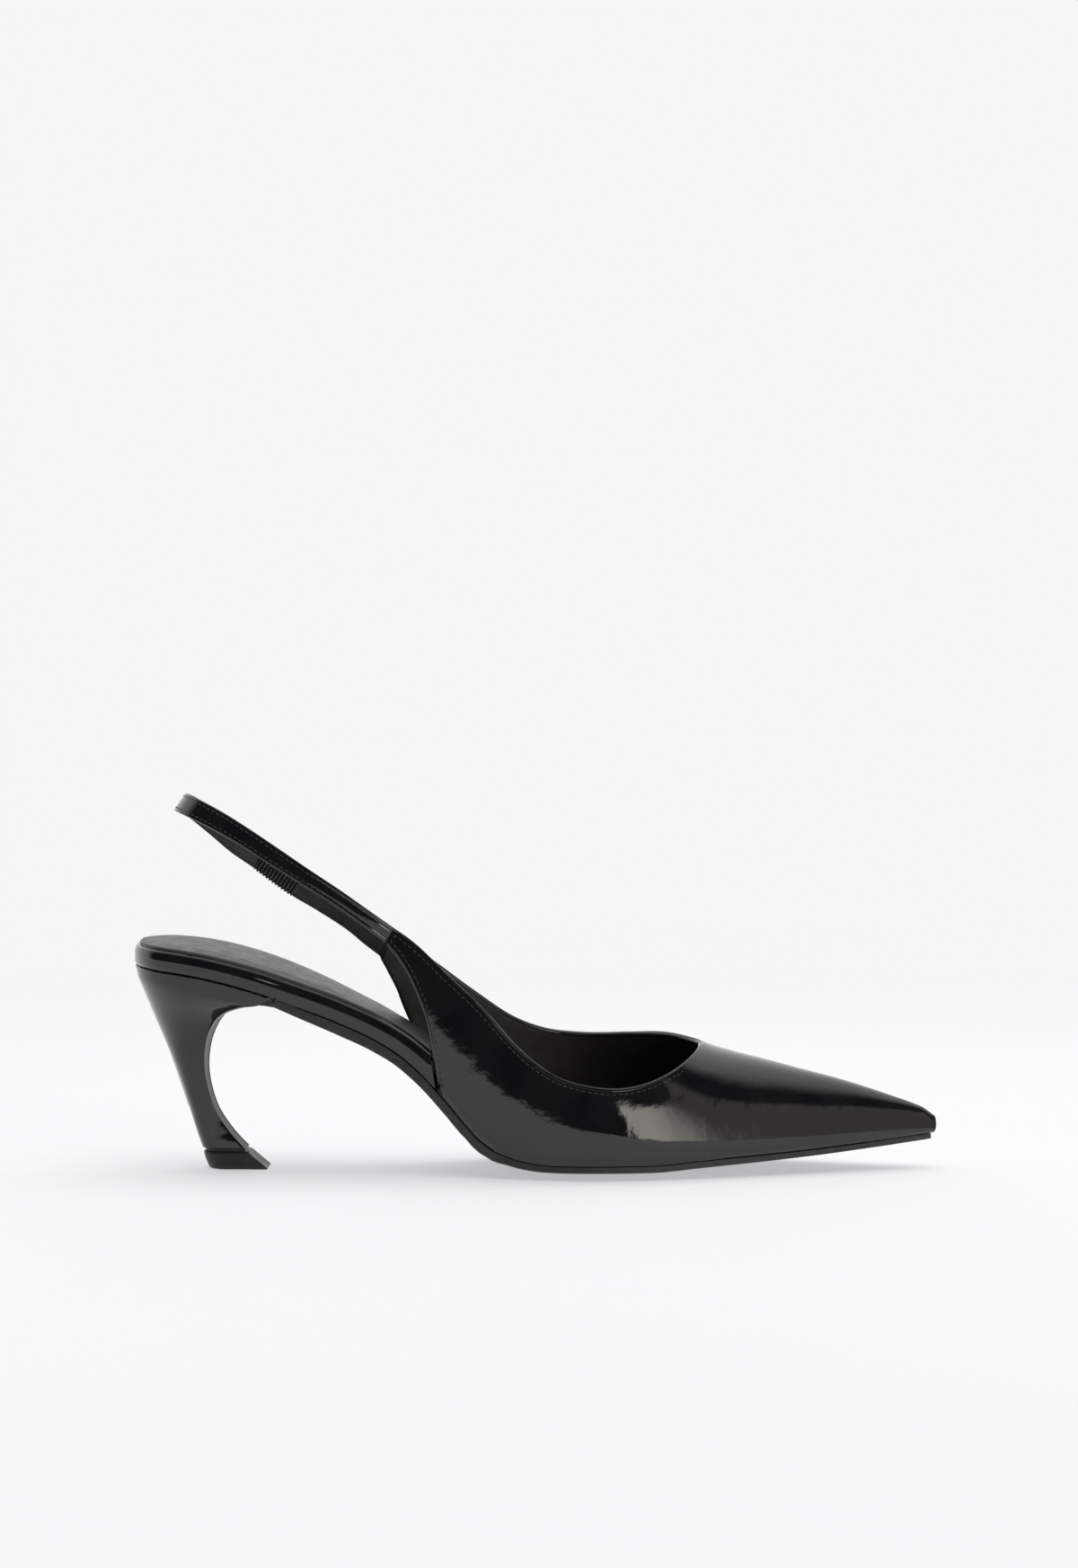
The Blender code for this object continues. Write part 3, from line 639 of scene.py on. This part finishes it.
def make_folds():
    """Turned edges of the patent leather, with a row of stitches beside each."""
    routes = []
    lines = {side: edge_lines(side) for side in SIDES}
    path = []
    leads = []
    for side, order in ((LATERAL, -1), (MEDIAL, 1)):
        line, normals, out = lines[side]["top"]
        centre = line - normals * (FOLD - 0.05) - out * FOLD
        path += list(centre[::order] if side == LATERAL else centre[1:])
        leads += list(normals[::order] if side == LATERAL else normals[1:])
        routes.append((line - out * 1.9 + normals * 0.05, normals))
    path, leads = resample(path, 1.1, leads)
    fold = tube("topline_fold", path, FOLD, PATENT_SKIN, sides=16, lead=leads)
    settle(fold, "shoe", "patent_leather")
    for side, word in ((LATERAL, "lateral"), (MEDIAL, "medial")):
        line, normals, out = lines[side]["back"]
        centre = line - normals * (FOLD - 0.05) - out * FOLD
        path, leads = resample(centre, 1.1, normals)
        fold = tube(f"back_fold_{word}", path, FOLD, PATENT_SKIN, sides=16, lead=leads)
        settle(fold, "shoe", "patent_leather")
        routes.append((line - out * 1.9 + normals * 0.05, normals))
    settle(stitches("upper_stitches", routes, THREAD), "shoe", "patent_leather")


# ---- foot bed and sole -------------------------------------------------------------------------------------

RIM_STATIONS = (92.2, 86, 80, 74, 67, 59, 50, 41, 32, 24, 17, 11, 6.5, 3, 1, 0.2)


def rim_section():
    """(inset, level) round the C of the cover, with soft corners."""
    bottom = RIM_BOTTOM
    outer = [(9, RIM_TOP), (4, RIM_TOP), (1.6, RIM_TOP), (0.75, RIM_TOP - 0.2), (0.25, RIM_TOP - 0.8)]
    outer += [(0.02, -0.9), (0, -2.2), (0.04, -3.6), (0.25, bottom + 0.75), (0.75, bottom + 0.2)]
    outer += [(1.6, bottom), (4, bottom), (9, bottom)]
    inner = [(9, bottom + PATENT), (1.7, bottom + PATENT), (1.0, bottom + 1.5), (0.9, -2), (1.0, -0.2)]
    return outer + inner + [(1.7, RIM_TOP - PATENT), (9, RIM_TOP - PATENT)]


def make_rim():
    stations = np.interp(np.linspace(0, len(RIM_STATIONS) - 1, 76), range(len(RIM_STATIONS)), RIM_STATIONS)
    ends = {LATERAL: (93.5, -0.26), MEDIAL: (85.6, -0.82)}
    rings = []
    for side, x in [(LATERAL, x) for x in stations] + [(MEDIAL, x) for x in stations[::-1]]:
        last, shear = ends[side]
        x = x + (last - RIM_STATIONS[0]) * ease((x - 45) / 45)
        pull = shear * ease((x - 66) / 16)
        ring = []
        for inset, height in rim_section():
            along = x + pull * height
            point = edge(side, along, inset)
            point[0] += (along - point[0]) * ease((x - 60) / 16)
            ring.append(place(*point, height))
        rings.append(ring)
    rim = loft("rim_patent", rings, PATENT_HEEL, sharp=1.1)
    settle(rim, "shoe", "patent_leather", "insole_rim_cover")


def make_sock():
    """The foot bed's leather, crowned over its pads and rolled down at its edge."""
    stations = np.concatenate((0.5 + 20 * np.linspace(0, 1, 14) ** 2, np.linspace(22, 227, 96)))
    columns = 36
    rings = []
    for x in stations:
        left, right = edge(LATERAL, x, sock_inset(x)), edge(MEDIAL, x, sock_inset(x))
        heel_swell = 0.55 * ease(x / 14) * (1 - ease((x - 58) / 22))
        swell = heel_swell + 0.5 * ease((x - 116) / 16) * (1 - ease((x - 176) / 26))
        width = np.linalg.norm(right - left)
        top, bottom = [], []
        for j in range(columns + 1):
            share = 0.5 - 0.5 * cos(pi * j / columns)
            point = left + (right - left) * share
            beside = width * min(share, 1 - share)
            lift = swell * ease(beside / 9) - 0.62 * (1 - min(beside / 0.7, 1.0)) ** 2
            top.append(place(*point, 2.2 + lift))
            bottom.append(place(*point, RIM_TOP + 0.02))
        rings.append(top + bottom[::-4])
    sock = loft("foot_bed_leather", rings, SOCK_LEATHER, sharp=1.1)
    settle(sock, "shoe", "sock_leather", "sock")


# back (x, z), front (x, z) and half width of each ring of the heel, from the top piece to the seat
HEEL_RINGS = (
    ((21.3, 6.2), (35.0, 6.2), 6.45), ((19.1, 12.3), (29.8, 12.0), 6.5), ((16.6, 20), (25.0, 19.8), 6.9),
    ((13.2, 30), (22.4, 30), 8.4), ((10.0, 38.5), (22.9, 39), 11.2), ((7.0, 46), (25.4, 45.4), 15.2),
    ((4.7, 52), (29.2, 49.0), 19.0), ((3.0, 56.8), (34.5, 51.2), 22.4), ((1.8, 60.3), (40.4, 52.2), 25.0),
    ((0.7, 63.2), (46.2, 53.3), 26.4),
)
HEEL_FOLLOW = curve((0, 0), (5, 0), (6, 0.1), (7, 0.35), (8, 0.7), (9, 1))
HEEL_FRONT = curve((0, 0.995), (3, 0.985), (5, 0.95), (9, 0.95))
HEEL_TOP = len(HEEL_RINGS) - 1
heel_back = [curve(*((i, ring[0][axis]) for i, ring in enumerate(HEEL_RINGS))) for axis in (0, 1)]
heel_front = [curve(*((i, ring[1][axis]) for i, ring in enumerate(HEEL_RINGS))) for axis in (0, 1)]
heel_half = curve(*((i, ring[2]) for i, ring in enumerate(HEEL_RINGS)))


def heel_side(r, back, front, width, points=26):
    """Half of a D of points round the heel at ring r, from the middle of its back to its breast."""
    depth = min(front[0] - back[0], 1.6 * width) * 0.55
    follow = HEEL_FOLLOW(r)
    found = []
    for k in range(points + 1):
        share = k / points
        if share < 0.62:
            turn = share / 0.62 * pi / 2
            x, y = back[0] + depth * (1 - cos(turn)), width * sin(turn) ** 0.9
        else:
            part = (share - 0.62) / 0.38
            x = back[0] + depth + (front[0] - back[0] - depth) * part
            y = width * (1 + (HEEL_FRONT(r) - 1) * part**2)
        z = back[1] + (front[1] - back[1]) * (x - back[0]) / (front[0] - back[0])
        seat = max(half_width(LATERAL, x) - 0.5, 0.0)
        y = max(y + (seat - y) * follow, 0.0)
        seated = place(x, y, SOLE_TOP + 0.1)[2]
        mirrored = place(x, -y, SOLE_TOP + 0.1)[2]
        rise = ease(r - HEEL_TOP + 1)
        found.append((x, y, z + (seated - z) * rise, z + (mirrored - z) * rise))
    return found


def make_heel():
    rows = []
    for r in np.linspace(0, HEEL_TOP, 90):
        back = [line(r) for line in heel_back]
        front = [line(r) for line in heel_front]
        side = heel_side(r, back, front, heel_half(r))
        inner = [np.array((x, y, z)) for x, y, z, _ in side[::-1]]
        outer = [np.array((x, -y, z)) for x, y, _, z in side[1:]]
        turned = [inner[0] + (0.1, -1.1, 0), inner[0] + (0.25, -0.4, 0)]
        rows.append(turned + inner + outer + [point * (1, -1, 1) for point in turned[::-1]])
    rows = np.array(rows)
    rows[0, :, 2] += 0.25
    bm = bmesh.new()
    add_grid(bm, rows)
    cover = finish_mesh("heel_patent", bm, PATENT_HEEL, sharp=1.2)
    modifier(cover, "SOLIDIFY", thickness=PATENT * 0.7 * MM, offset=-1)
    settle(cover, "shoe", "patent_leather", "heel_cover")


def tip_ring(back, front, width, inset=0.0):
    side = heel_side(0, back, front, width)
    middle = np.array(((back[0] + front[0]) / 2, 0, 0))
    ring = [np.array((x, -y, z)) for x, y, z, _ in side] + [np.array((x, y, z)) for x, y, z, _ in side[::-1]]
    ring = np.array(ring[1:-1])
    flat = (ring - middle) * (1, 1, 0)
    return ring - unit(flat) * inset


def make_tip():
    """The top piece, with a groove where it meets the heel and a soft lower edge."""
    levels = (
        (0.0, 0.9), (0.12, 0.45), (0.4, 0.12), (0.8, 0), (1.6, 0), (3.2, 0), (4.6, 0), (5.1, 0), (5.35, 0.12),
        (5.5, 0.4), (5.62, 0.75), (TIP_HEIGHT + 0.3, 0.75),
    )
    rings = []
    for z, inset in levels:
        share = z / TIP_HEIGHT
        back = (float(np.interp(z, (0, 3.2, 5.9), (23.4, 22.1, 21.4))), z)
        front = (float(np.interp(z, (0, 3.2, 5.9), (42.4, 38.6, 35.4))), z)
        rings.append(tip_ring(back, front, 6.9 - 0.2 * share, inset))
    tip = loft("top_piece", rings, TOP_PIECE, sharp=1.0)
    settle(tip, "shoe", "top_piece", "heel_tip")


def make_sole():
    """The leather sole, from the toe to the waist and down the breast of the heel."""
    fronts = []
    for r in np.linspace(0, HEEL_TOP - 1, 60):
        fronts.append((r, np.array([line(r) for line in heel_front])))
    steps = np.gradient(np.array([front for _, front in fronts]), axis=0)
    columns = 16
    rings = []
    for (r, front), step in zip(fronts, steps):
        inward = np.array((-step[1], step[0])) / hypot(*step)
        half = heel_half(r) * HEEL_FRONT(r) - PATENT - 0.15
        across = np.linspace(-half, half, columns + 1)
        inner = front + inward * FLAP
        top = [np.array((inner[0], y, inner[1])) for y in across]
        bottom = [np.array((front[0], y, front[1])) for y in across[::-1]]
        rings.append(top + bottom)
    for x in np.concatenate(((BREAST_TOP, 47.5), np.linspace(49.5, 228, 90), np.linspace(230, 250.2, 20))):
        inset = 1.6 + 1.4 * ease((62 - x) / 14)
        left, right = edge(LATERAL, x, inset), edge(MEDIAL, x, inset)
        across = [left + (right - left) * (0.5 - 0.5 * cos(pi * j / columns)) for j in range(columns + 1)]
        low = SOLE_TOP - sole_thickness(x)
        width = np.linalg.norm(right - left)
        bottom = []
        for point in across[::-1]:
            beside = min(np.linalg.norm(point - left), width - np.linalg.norm(point - left))
            bottom.append(place(*point, low + 0.35 * max(0.0, 1 - beside / 0.6) ** 2))
        rings.append([place(*point, SOLE_TOP) for point in across] + bottom)
    sole = loft("leather_sole", rings, SOLE_LEATHER, sharp=0.8)
    settle(sole, "shoe", "sole_leather", "outsole")


# ---- strap -------------------------------------------------------------------------------------------------

# Lower edge of the strap and its width, from the outer root round the heel to the inner root
STRAP = (
    (79.15, -22.35, 71.6, 5.2), (73.6, -23.4, 75.8, 5.0), (63.4, -24.7, 83.1, 5.0), (53.6, -25.2, 89.4, 5.2),
    (44.2, -24.6, 95.3, 5.6), (34.6, -22.9, 101.4, 5.8), (26.6, -20.2, 105.8, 6.2), (19.4, -15.8, 109.2, 6.5),
    (14.4, -9.2, 111.2, 6.7), (12.2, 0, 111.7, 6.8), (14.2, 9.2, 110.4, 6.7), (18.0, 14.6, 107.1, 6.4),
    (22.2, 18.0, 103.3, 6.0), (28.0, 21.2, 98.1, 5.8), (34.6, 23.2, 93.4, 5.7), (41.0, 24.0, 88.6, 5.6),
    (47.6, 24.0, 84.0, 5.6), (55.0, 23.3, 79.7, 5.8), (64.4, 21.7, 73.8, 6.6), (71.0, 19.9, 68.6, 7.8),
    (75.5, 18.4, 65.35, 8.6),
)
ELASTIC_START, ELASTIC_STOP, STRAP_STOP = 14.0, 16.0, 20.0
strap_line = [curve(*((i, row[axis]) for i, row in enumerate(STRAP))) for axis in range(4)]
STRAP_PATENT, STRAP_LINING = 1.25, 0.65
STRAP_TILT = curve((0, 0.4), (1, 0.5), (3, 0.45), (16, 0.45), (20, 0.6))
TUCK = 0.3  # of a station, how far each strap root runs on under the quarter
ROOT_RUN = 1.1
GATHERS = 13


def strap_frame(s):
    """(lower edge point, outward normal, width) of the strap at s, which may run a little past its ends."""
    inside = min(max(s, 0.0), STRAP_STOP)
    x, y, z, width = (float(line(inside)) for line in strap_line)
    ahead, behind = min(inside + 0.02, STRAP_STOP), max(inside - 0.02, 0.0)
    step = np.array([float(line(ahead) - line(behind)) for line in strap_line[:3]]) / (ahead - behind)
    point = np.array((x, y, z)) + step * (s - inside)
    normal = unit(np.cross(STRAP_LEAN, step))
    if normal @ (point - np.array((45.0, 0, point[2]))) < 0:
        normal = -normal
    return point, normal, width * hypot(0.53, 0.85)


def strap_ring(s, section, narrow=0.0, depth=0.0, sink=0.0):
    point, normal, width = strap_frame(s)
    ring = []
    for across, down in section(width - 2 * narrow):
        tilt = STRAP_TILT(s) * ((across + narrow) / width - 0.5)
        ring.append(point + STRAP_LEAN * (across + narrow) - normal * (down + depth + sink + tilt))
    return ring


def strap_piece(name, first, last, section, look, narrow=0.0, depth=0.0, sinks=(0.0, 0.0)):
    """A length of strap; sinks lowers its two ends under their neighbour's surface."""
    steps = max(int((last - first) / 0.045), 12)
    rings = []
    for k in range(steps + 1):
        s = first + (last - first) * k / steps
        sink = sinks[0] * (1 - ease((s - first) / 0.35)) + sinks[1] * (1 - ease((last - s) / 0.35))
        rings.append(strap_ring(s, section, narrow, depth, sink))
    return loft(name, rings, look, sharp=1.0)


def patent_section(width):
    return rounded_bar(width, STRAP_PATENT, 0.5, across=19, dip=0.04, dip_place=1.25)


def lining_section(width):
    return rounded_bar(width, STRAP_LINING, 0.25, across=7)


def strap_seam(first, last, inset):
    """A stitching line inset from the lower edge, or from the upper one where inset is below zero."""
    path, normals = [], []
    for s in np.linspace(first, last, max(int((last - first) / 0.05), 8)):
        point, normal, width = strap_frame(s)
        across = inset if inset > 0 else width + inset
        path.append(point + STRAP_LEAN * across - normal * (0.02 + STRAP_TILT(s) * (across / width - 0.5)))
        normals.append(normal)
    return path, normals


def gathered_ring(s):
    """The ruched cover: folds across the strap, deeper at its middle than at its ends."""
    point, normal, width = strap_frame(s)
    share = (s - ELASTIC_START) / (ELASTIC_STOP - ELASTIC_START)
    wave = abs(sin(pi * GATHERS * share))
    fade = ease(share / 0.05) * ease((1 - share) / 0.05)
    full = 0.55 * fade * wave
    ring = []
    for across, down in rounded_bar(width, 1.9, 0.7, across=15):
        middle = abs(across / width - 0.5) * 2
        wander = 0.12 * sin(9 * across / width + 5.0 * GATHERS * share)
        outward = 1 if down < 0.95 else -0.6
        spread = (full - 0.25) * 0.9 * (1 if across > width / 2 else -1) * middle**4
        puff = outward * (full * (0.75 + 0.25 * (1 - middle**2)) + wander * fade - 0.1)
        ring.append(point + STRAP_LEAN * (across + spread) - normal * (down - puff))
    return ring


def make_strap():
    at = lambda s: tuple(in_metres(strap_frame(s)[0] + STRAP_LEAN * strap_frame(s)[2] / 2))
    root = ("shoe", "strap_base", at(0.0), at(ROOT_RUN * 0.9))
    loop = ("strap_base", "strap_loop", at(ROOT_RUN), at(ROOT_RUN + 1.2))
    stretch = ("strap_base", "strap_loop", at(ELASTIC_STOP), at(ELASTIC_START))
    tab = ("shoe", "strap_base", at(STRAP_STOP), at(STRAP_STOP - 1.4))
    pieces = (
        ("strap_root", -TUCK, ROOT_RUN, root, (0.35, 0), ()),
        ("strap_loop_patent", ROOT_RUN, ELASTIC_START + 0.12, loop, (0, 0), ("strap_outer",)),
        ("strap_tab", ELASTIC_STOP - 0.12, STRAP_STOP + TUCK, tab, (0, 0.35), ("tab_outer",)),
    )
    linings = {"strap_loop_patent": "strap_lining", "strap_tab": "tab_lining"}
    for name, first, last, body, sinks, nodes in pieces:
        bar = strap_piece(name, first, last, patent_section, PATENT_STRAP, sinks=sinks)
        settle(bar, body, "patent_leather", *nodes)
        under = strap_piece(
            f"{name}_lining",
            max(first, 0.0),
            min(last, STRAP_STOP),
            lining_section,
            LINING_LEATHER,
            narrow=0.45,
            depth=STRAP_PATENT - 0.05,
        )
        settle(under, body, "lining_leather", *([linings[name]] if name in linings else []))
        routes = [strap_seam(first + 0.05, last - 0.05, inset) for inset in (1.25, -1.25)]
        settle(stitches(f"{name}_stitches", routes, THREAD), body, "patent_leather")
    steps = GATHERS * 14
    run = ELASTIC_STOP - ELASTIC_START
    rings = [gathered_ring(ELASTIC_START + run * k / steps) for k in range(steps + 1)]
    gathers = loft("gathered_elastic", rings, PATENT_GATHERED, sharp=1.3)
    settle(gathers, stretch, "patent_leather", "elastic_cover", "elastic_band", "elastic_lining")


# ---- stage -------------------------------------------------------------------------------------------------


def make_floor():
    bm = bmesh.new()
    bmesh.ops.create_circle(bm, cap_ends=True, segments=96, radius=3.4)
    mesh = bpy.data.meshes.new("floor")
    bm.to_mesh(mesh)
    bm.free()
    floor = bpy.data.objects.new("floor", mesh)
    bpy.context.scene.collection.objects.link(floor)
    glow = dict(Emission_Color=(*FLOOR_GLOW, 1), Emission_Strength=FLOOR_GLOW_STRENGTH)
    look = Look("floor_paper", FLOOR_COLOUR, 0.7, Specular_IOR_Level=0.1, **glow)
    look.vary_colour(look.noise(3, 2), tuple(0.985 * value for value in FLOOR_COLOUR))
    length = look.node("ShaderNodeVectorMath", operation="LENGTH")
    look.link(look.where, length.inputs[0])
    clear = look.node("ShaderNodeBsdfTransparent")
    mix = look.node("ShaderNodeMixShader")
    look.link(look.range(length.outputs["Value"], 0, 1, 0.4, 1.1), mix.inputs[0])
    look.link(look.shader.outputs[0], mix.inputs[1])
    look.link(clear.outputs[0], mix.inputs[2])
    look.link(mix.outputs[0], look.tree.nodes["Material Output"].inputs["Surface"])
    mesh.materials.append(look.material)


def make_world():
    """A pale studio all round, with the dark room that the patent leather mirrors on the camera's side."""
    world = bpy.data.worlds.new("studio")
    bpy.context.scene.world = world
    world.use_nodes = True
    tree = world.node_tree
    background = tree.nodes["Background"]

    def math(operation, *values):
        made = tree.nodes.new("ShaderNodeMath")
        made.operation = operation
        for socket, value in zip(made.inputs, values):
            if isinstance(value, (int, float)):
                socket.default_value = value
            else:
                tree.links.new(value, socket)
        return made.outputs[0]

    def step(value, start, stop):
        made = tree.nodes.new("ShaderNodeMapRange")
        made.interpolation_type = "SMOOTHSTEP"
        made.inputs["From Min"].default_value = start
        made.inputs["From Max"].default_value = stop
        tree.links.new(value, made.inputs["Value"])
        return made.outputs[0]

    direction = tree.nodes.new("ShaderNodeTexCoord").outputs["Generated"]
    split = tree.nodes.new("ShaderNodeSeparateXYZ")
    tree.links.new(direction, split.inputs[0])
    low = step(split.outputs["Z"], *ROOM_LOW)
    high = math("SUBTRACT", 1.0, step(split.outputs["Z"], *ROOM_HIGH))
    front = step(math("MULTIPLY", split.outputs["Y"], -1.0), *ROOM_FRONT)
    dark = math("MULTIPLY", math("MULTIPLY", low, high), front)
    ahead = math("MAXIMUM", math("MULTIPLY", split.outputs["Y"], -1.0), 0.05)
    aside = math("DIVIDE", split.outputs["X"], ahead)
    slant = math("SUBTRACT", split.outputs["Z"], math("MULTIPLY", aside, CURTAIN_SLANT))
    under = math("SUBTRACT", 1.0, step(slant, *CURTAIN_TOP))
    below = math("SUBTRACT", 1.0, step(split.outputs["Z"], *CURTAIN_CEILING))
    inside = math("MULTIPLY", low, math("MULTIPLY", step(ahead, *CURTAIN_DEPTH), below))
    curtain = math("MULTIPLY", math("MULTIPLY", step(aside, *CURTAIN_SIDE), under), inside)
    glow = math("MULTIPLY", math("SUBTRACT", 1.0, step(aside, *WINDOW_FADE)), WINDOW_GLOW)
    glow = math("ADD", glow, CURTAIN_GLOW)

    def layer(factor, below, above):
        mix = tree.nodes.new("ShaderNodeMix")
        mix.data_type = "RGBA"
        tree.links.new(factor, mix.inputs["Factor"])
        for socket, value in (("A", below), ("B", above)):
            if isinstance(value, tuple):
                mix.inputs[socket].default_value = (*value, 1)
            else:
                tree.links.new(value, mix.inputs[socket])
        return mix.outputs["Result"]

    tint = tree.nodes.new("ShaderNodeVectorMath")
    tint.operation = "SCALE"
    tint.inputs[0].default_value = WINDOW_COLOUR
    tree.links.new(glow, tint.inputs["Scale"])
    room = layer(dark, STUDIO_COLOUR, ROOM_COLOUR)
    tree.links.new(layer(curtain, room, tint.outputs["Vector"]), background.inputs["Color"])


def softbox(name, where, target, size, power):
    light = bpy.data.lights.new(name, "AREA")
    light.shape = "RECTANGLE"
    light.size, light.size_y = size
    light.energy = power
    obj = bpy.data.objects.new(name, light)
    obj.location = where
    obj.rotation_euler = (Vector(target) - Vector(where)).to_track_quat("-Z", "Y").to_euler()
    obj.visible_glossy = False
    bpy.context.scene.collection.objects.link(obj)


FLOOR_COLOUR = (0.5, 0.5, 0.5)
FLOOR_GLOW = (0.90, 0.90, 0.925)
FLOOR_GLOW_STRENGTH = 0.5
STUDIO_COLOUR = (0.92, 0.92, 0.93)
ROOM_COLOUR = (0.02, 0.02, 0.024)
ROOM_LOW = (-0.012, 0.004)
ROOM_HIGH = (0.8, 0.92)
ROOM_FRONT = (-0.3, 0.05)
# The window and its curtain, by how far aside they are (tangent of the azimuth), how high (sine of the
# elevation) and how far ahead (the direction's -Y)
CURTAIN_SIDE = (0.38, 0.41)
CURTAIN_SLANT = 0.35
CURTAIN_TOP = (0.1, 0.15)
CURTAIN_DEPTH = (0.16, 0.24)
CURTAIN_CEILING = (0.62, 0.7)
CURTAIN_GLOW = 0.5
WINDOW_FADE = (0.5, 1.1)
WINDOW_GLOW = 3.4
WINDOW_COLOUR = (1.0, 0.96, 0.87)


SENSOR_HEIGHT = 36.0  # mm
LENS = 73.3  # mm
CAMERA_PLACE = (0.0015, -1.0, 0.12)


def make_camera():
    """Level with the shoe's strap and square to its side, as the photograph was taken."""
    camera = bpy.data.objects.new("camera", bpy.data.cameras.new("camera"))
    camera.data.sensor_fit = "VERTICAL"
    camera.data.sensor_height = SENSOR_HEIGHT
    camera.data.lens = LENS
    camera.data.clip_start = 0.01
    camera.location = CAMERA_PLACE
    camera.rotation_euler = (pi / 2, 0, 0)
    bpy.context.scene.collection.objects.link(camera)
    bpy.context.scene.camera = camera


make_camera()
make_upper()
make_folds()
make_rim()
make_sock()
make_heel()
make_tip()
make_sole()
make_strap()
for entry in frame["record"]["subparts"]:
    node = frame["nodes"][entry["node"]]
    node.data.materials.clear()
    node.data.materials.append(CAD_LOOKS[entry["material_slot"]])

make_floor()
make_world()
softbox("overhead", where=(0.1, 0.1, 1.3), target=(0, 0.1, 0), size=(1.8, 1.6), power=11.0)
bpy.context.scene.view_settings.view_transform = "Standard"
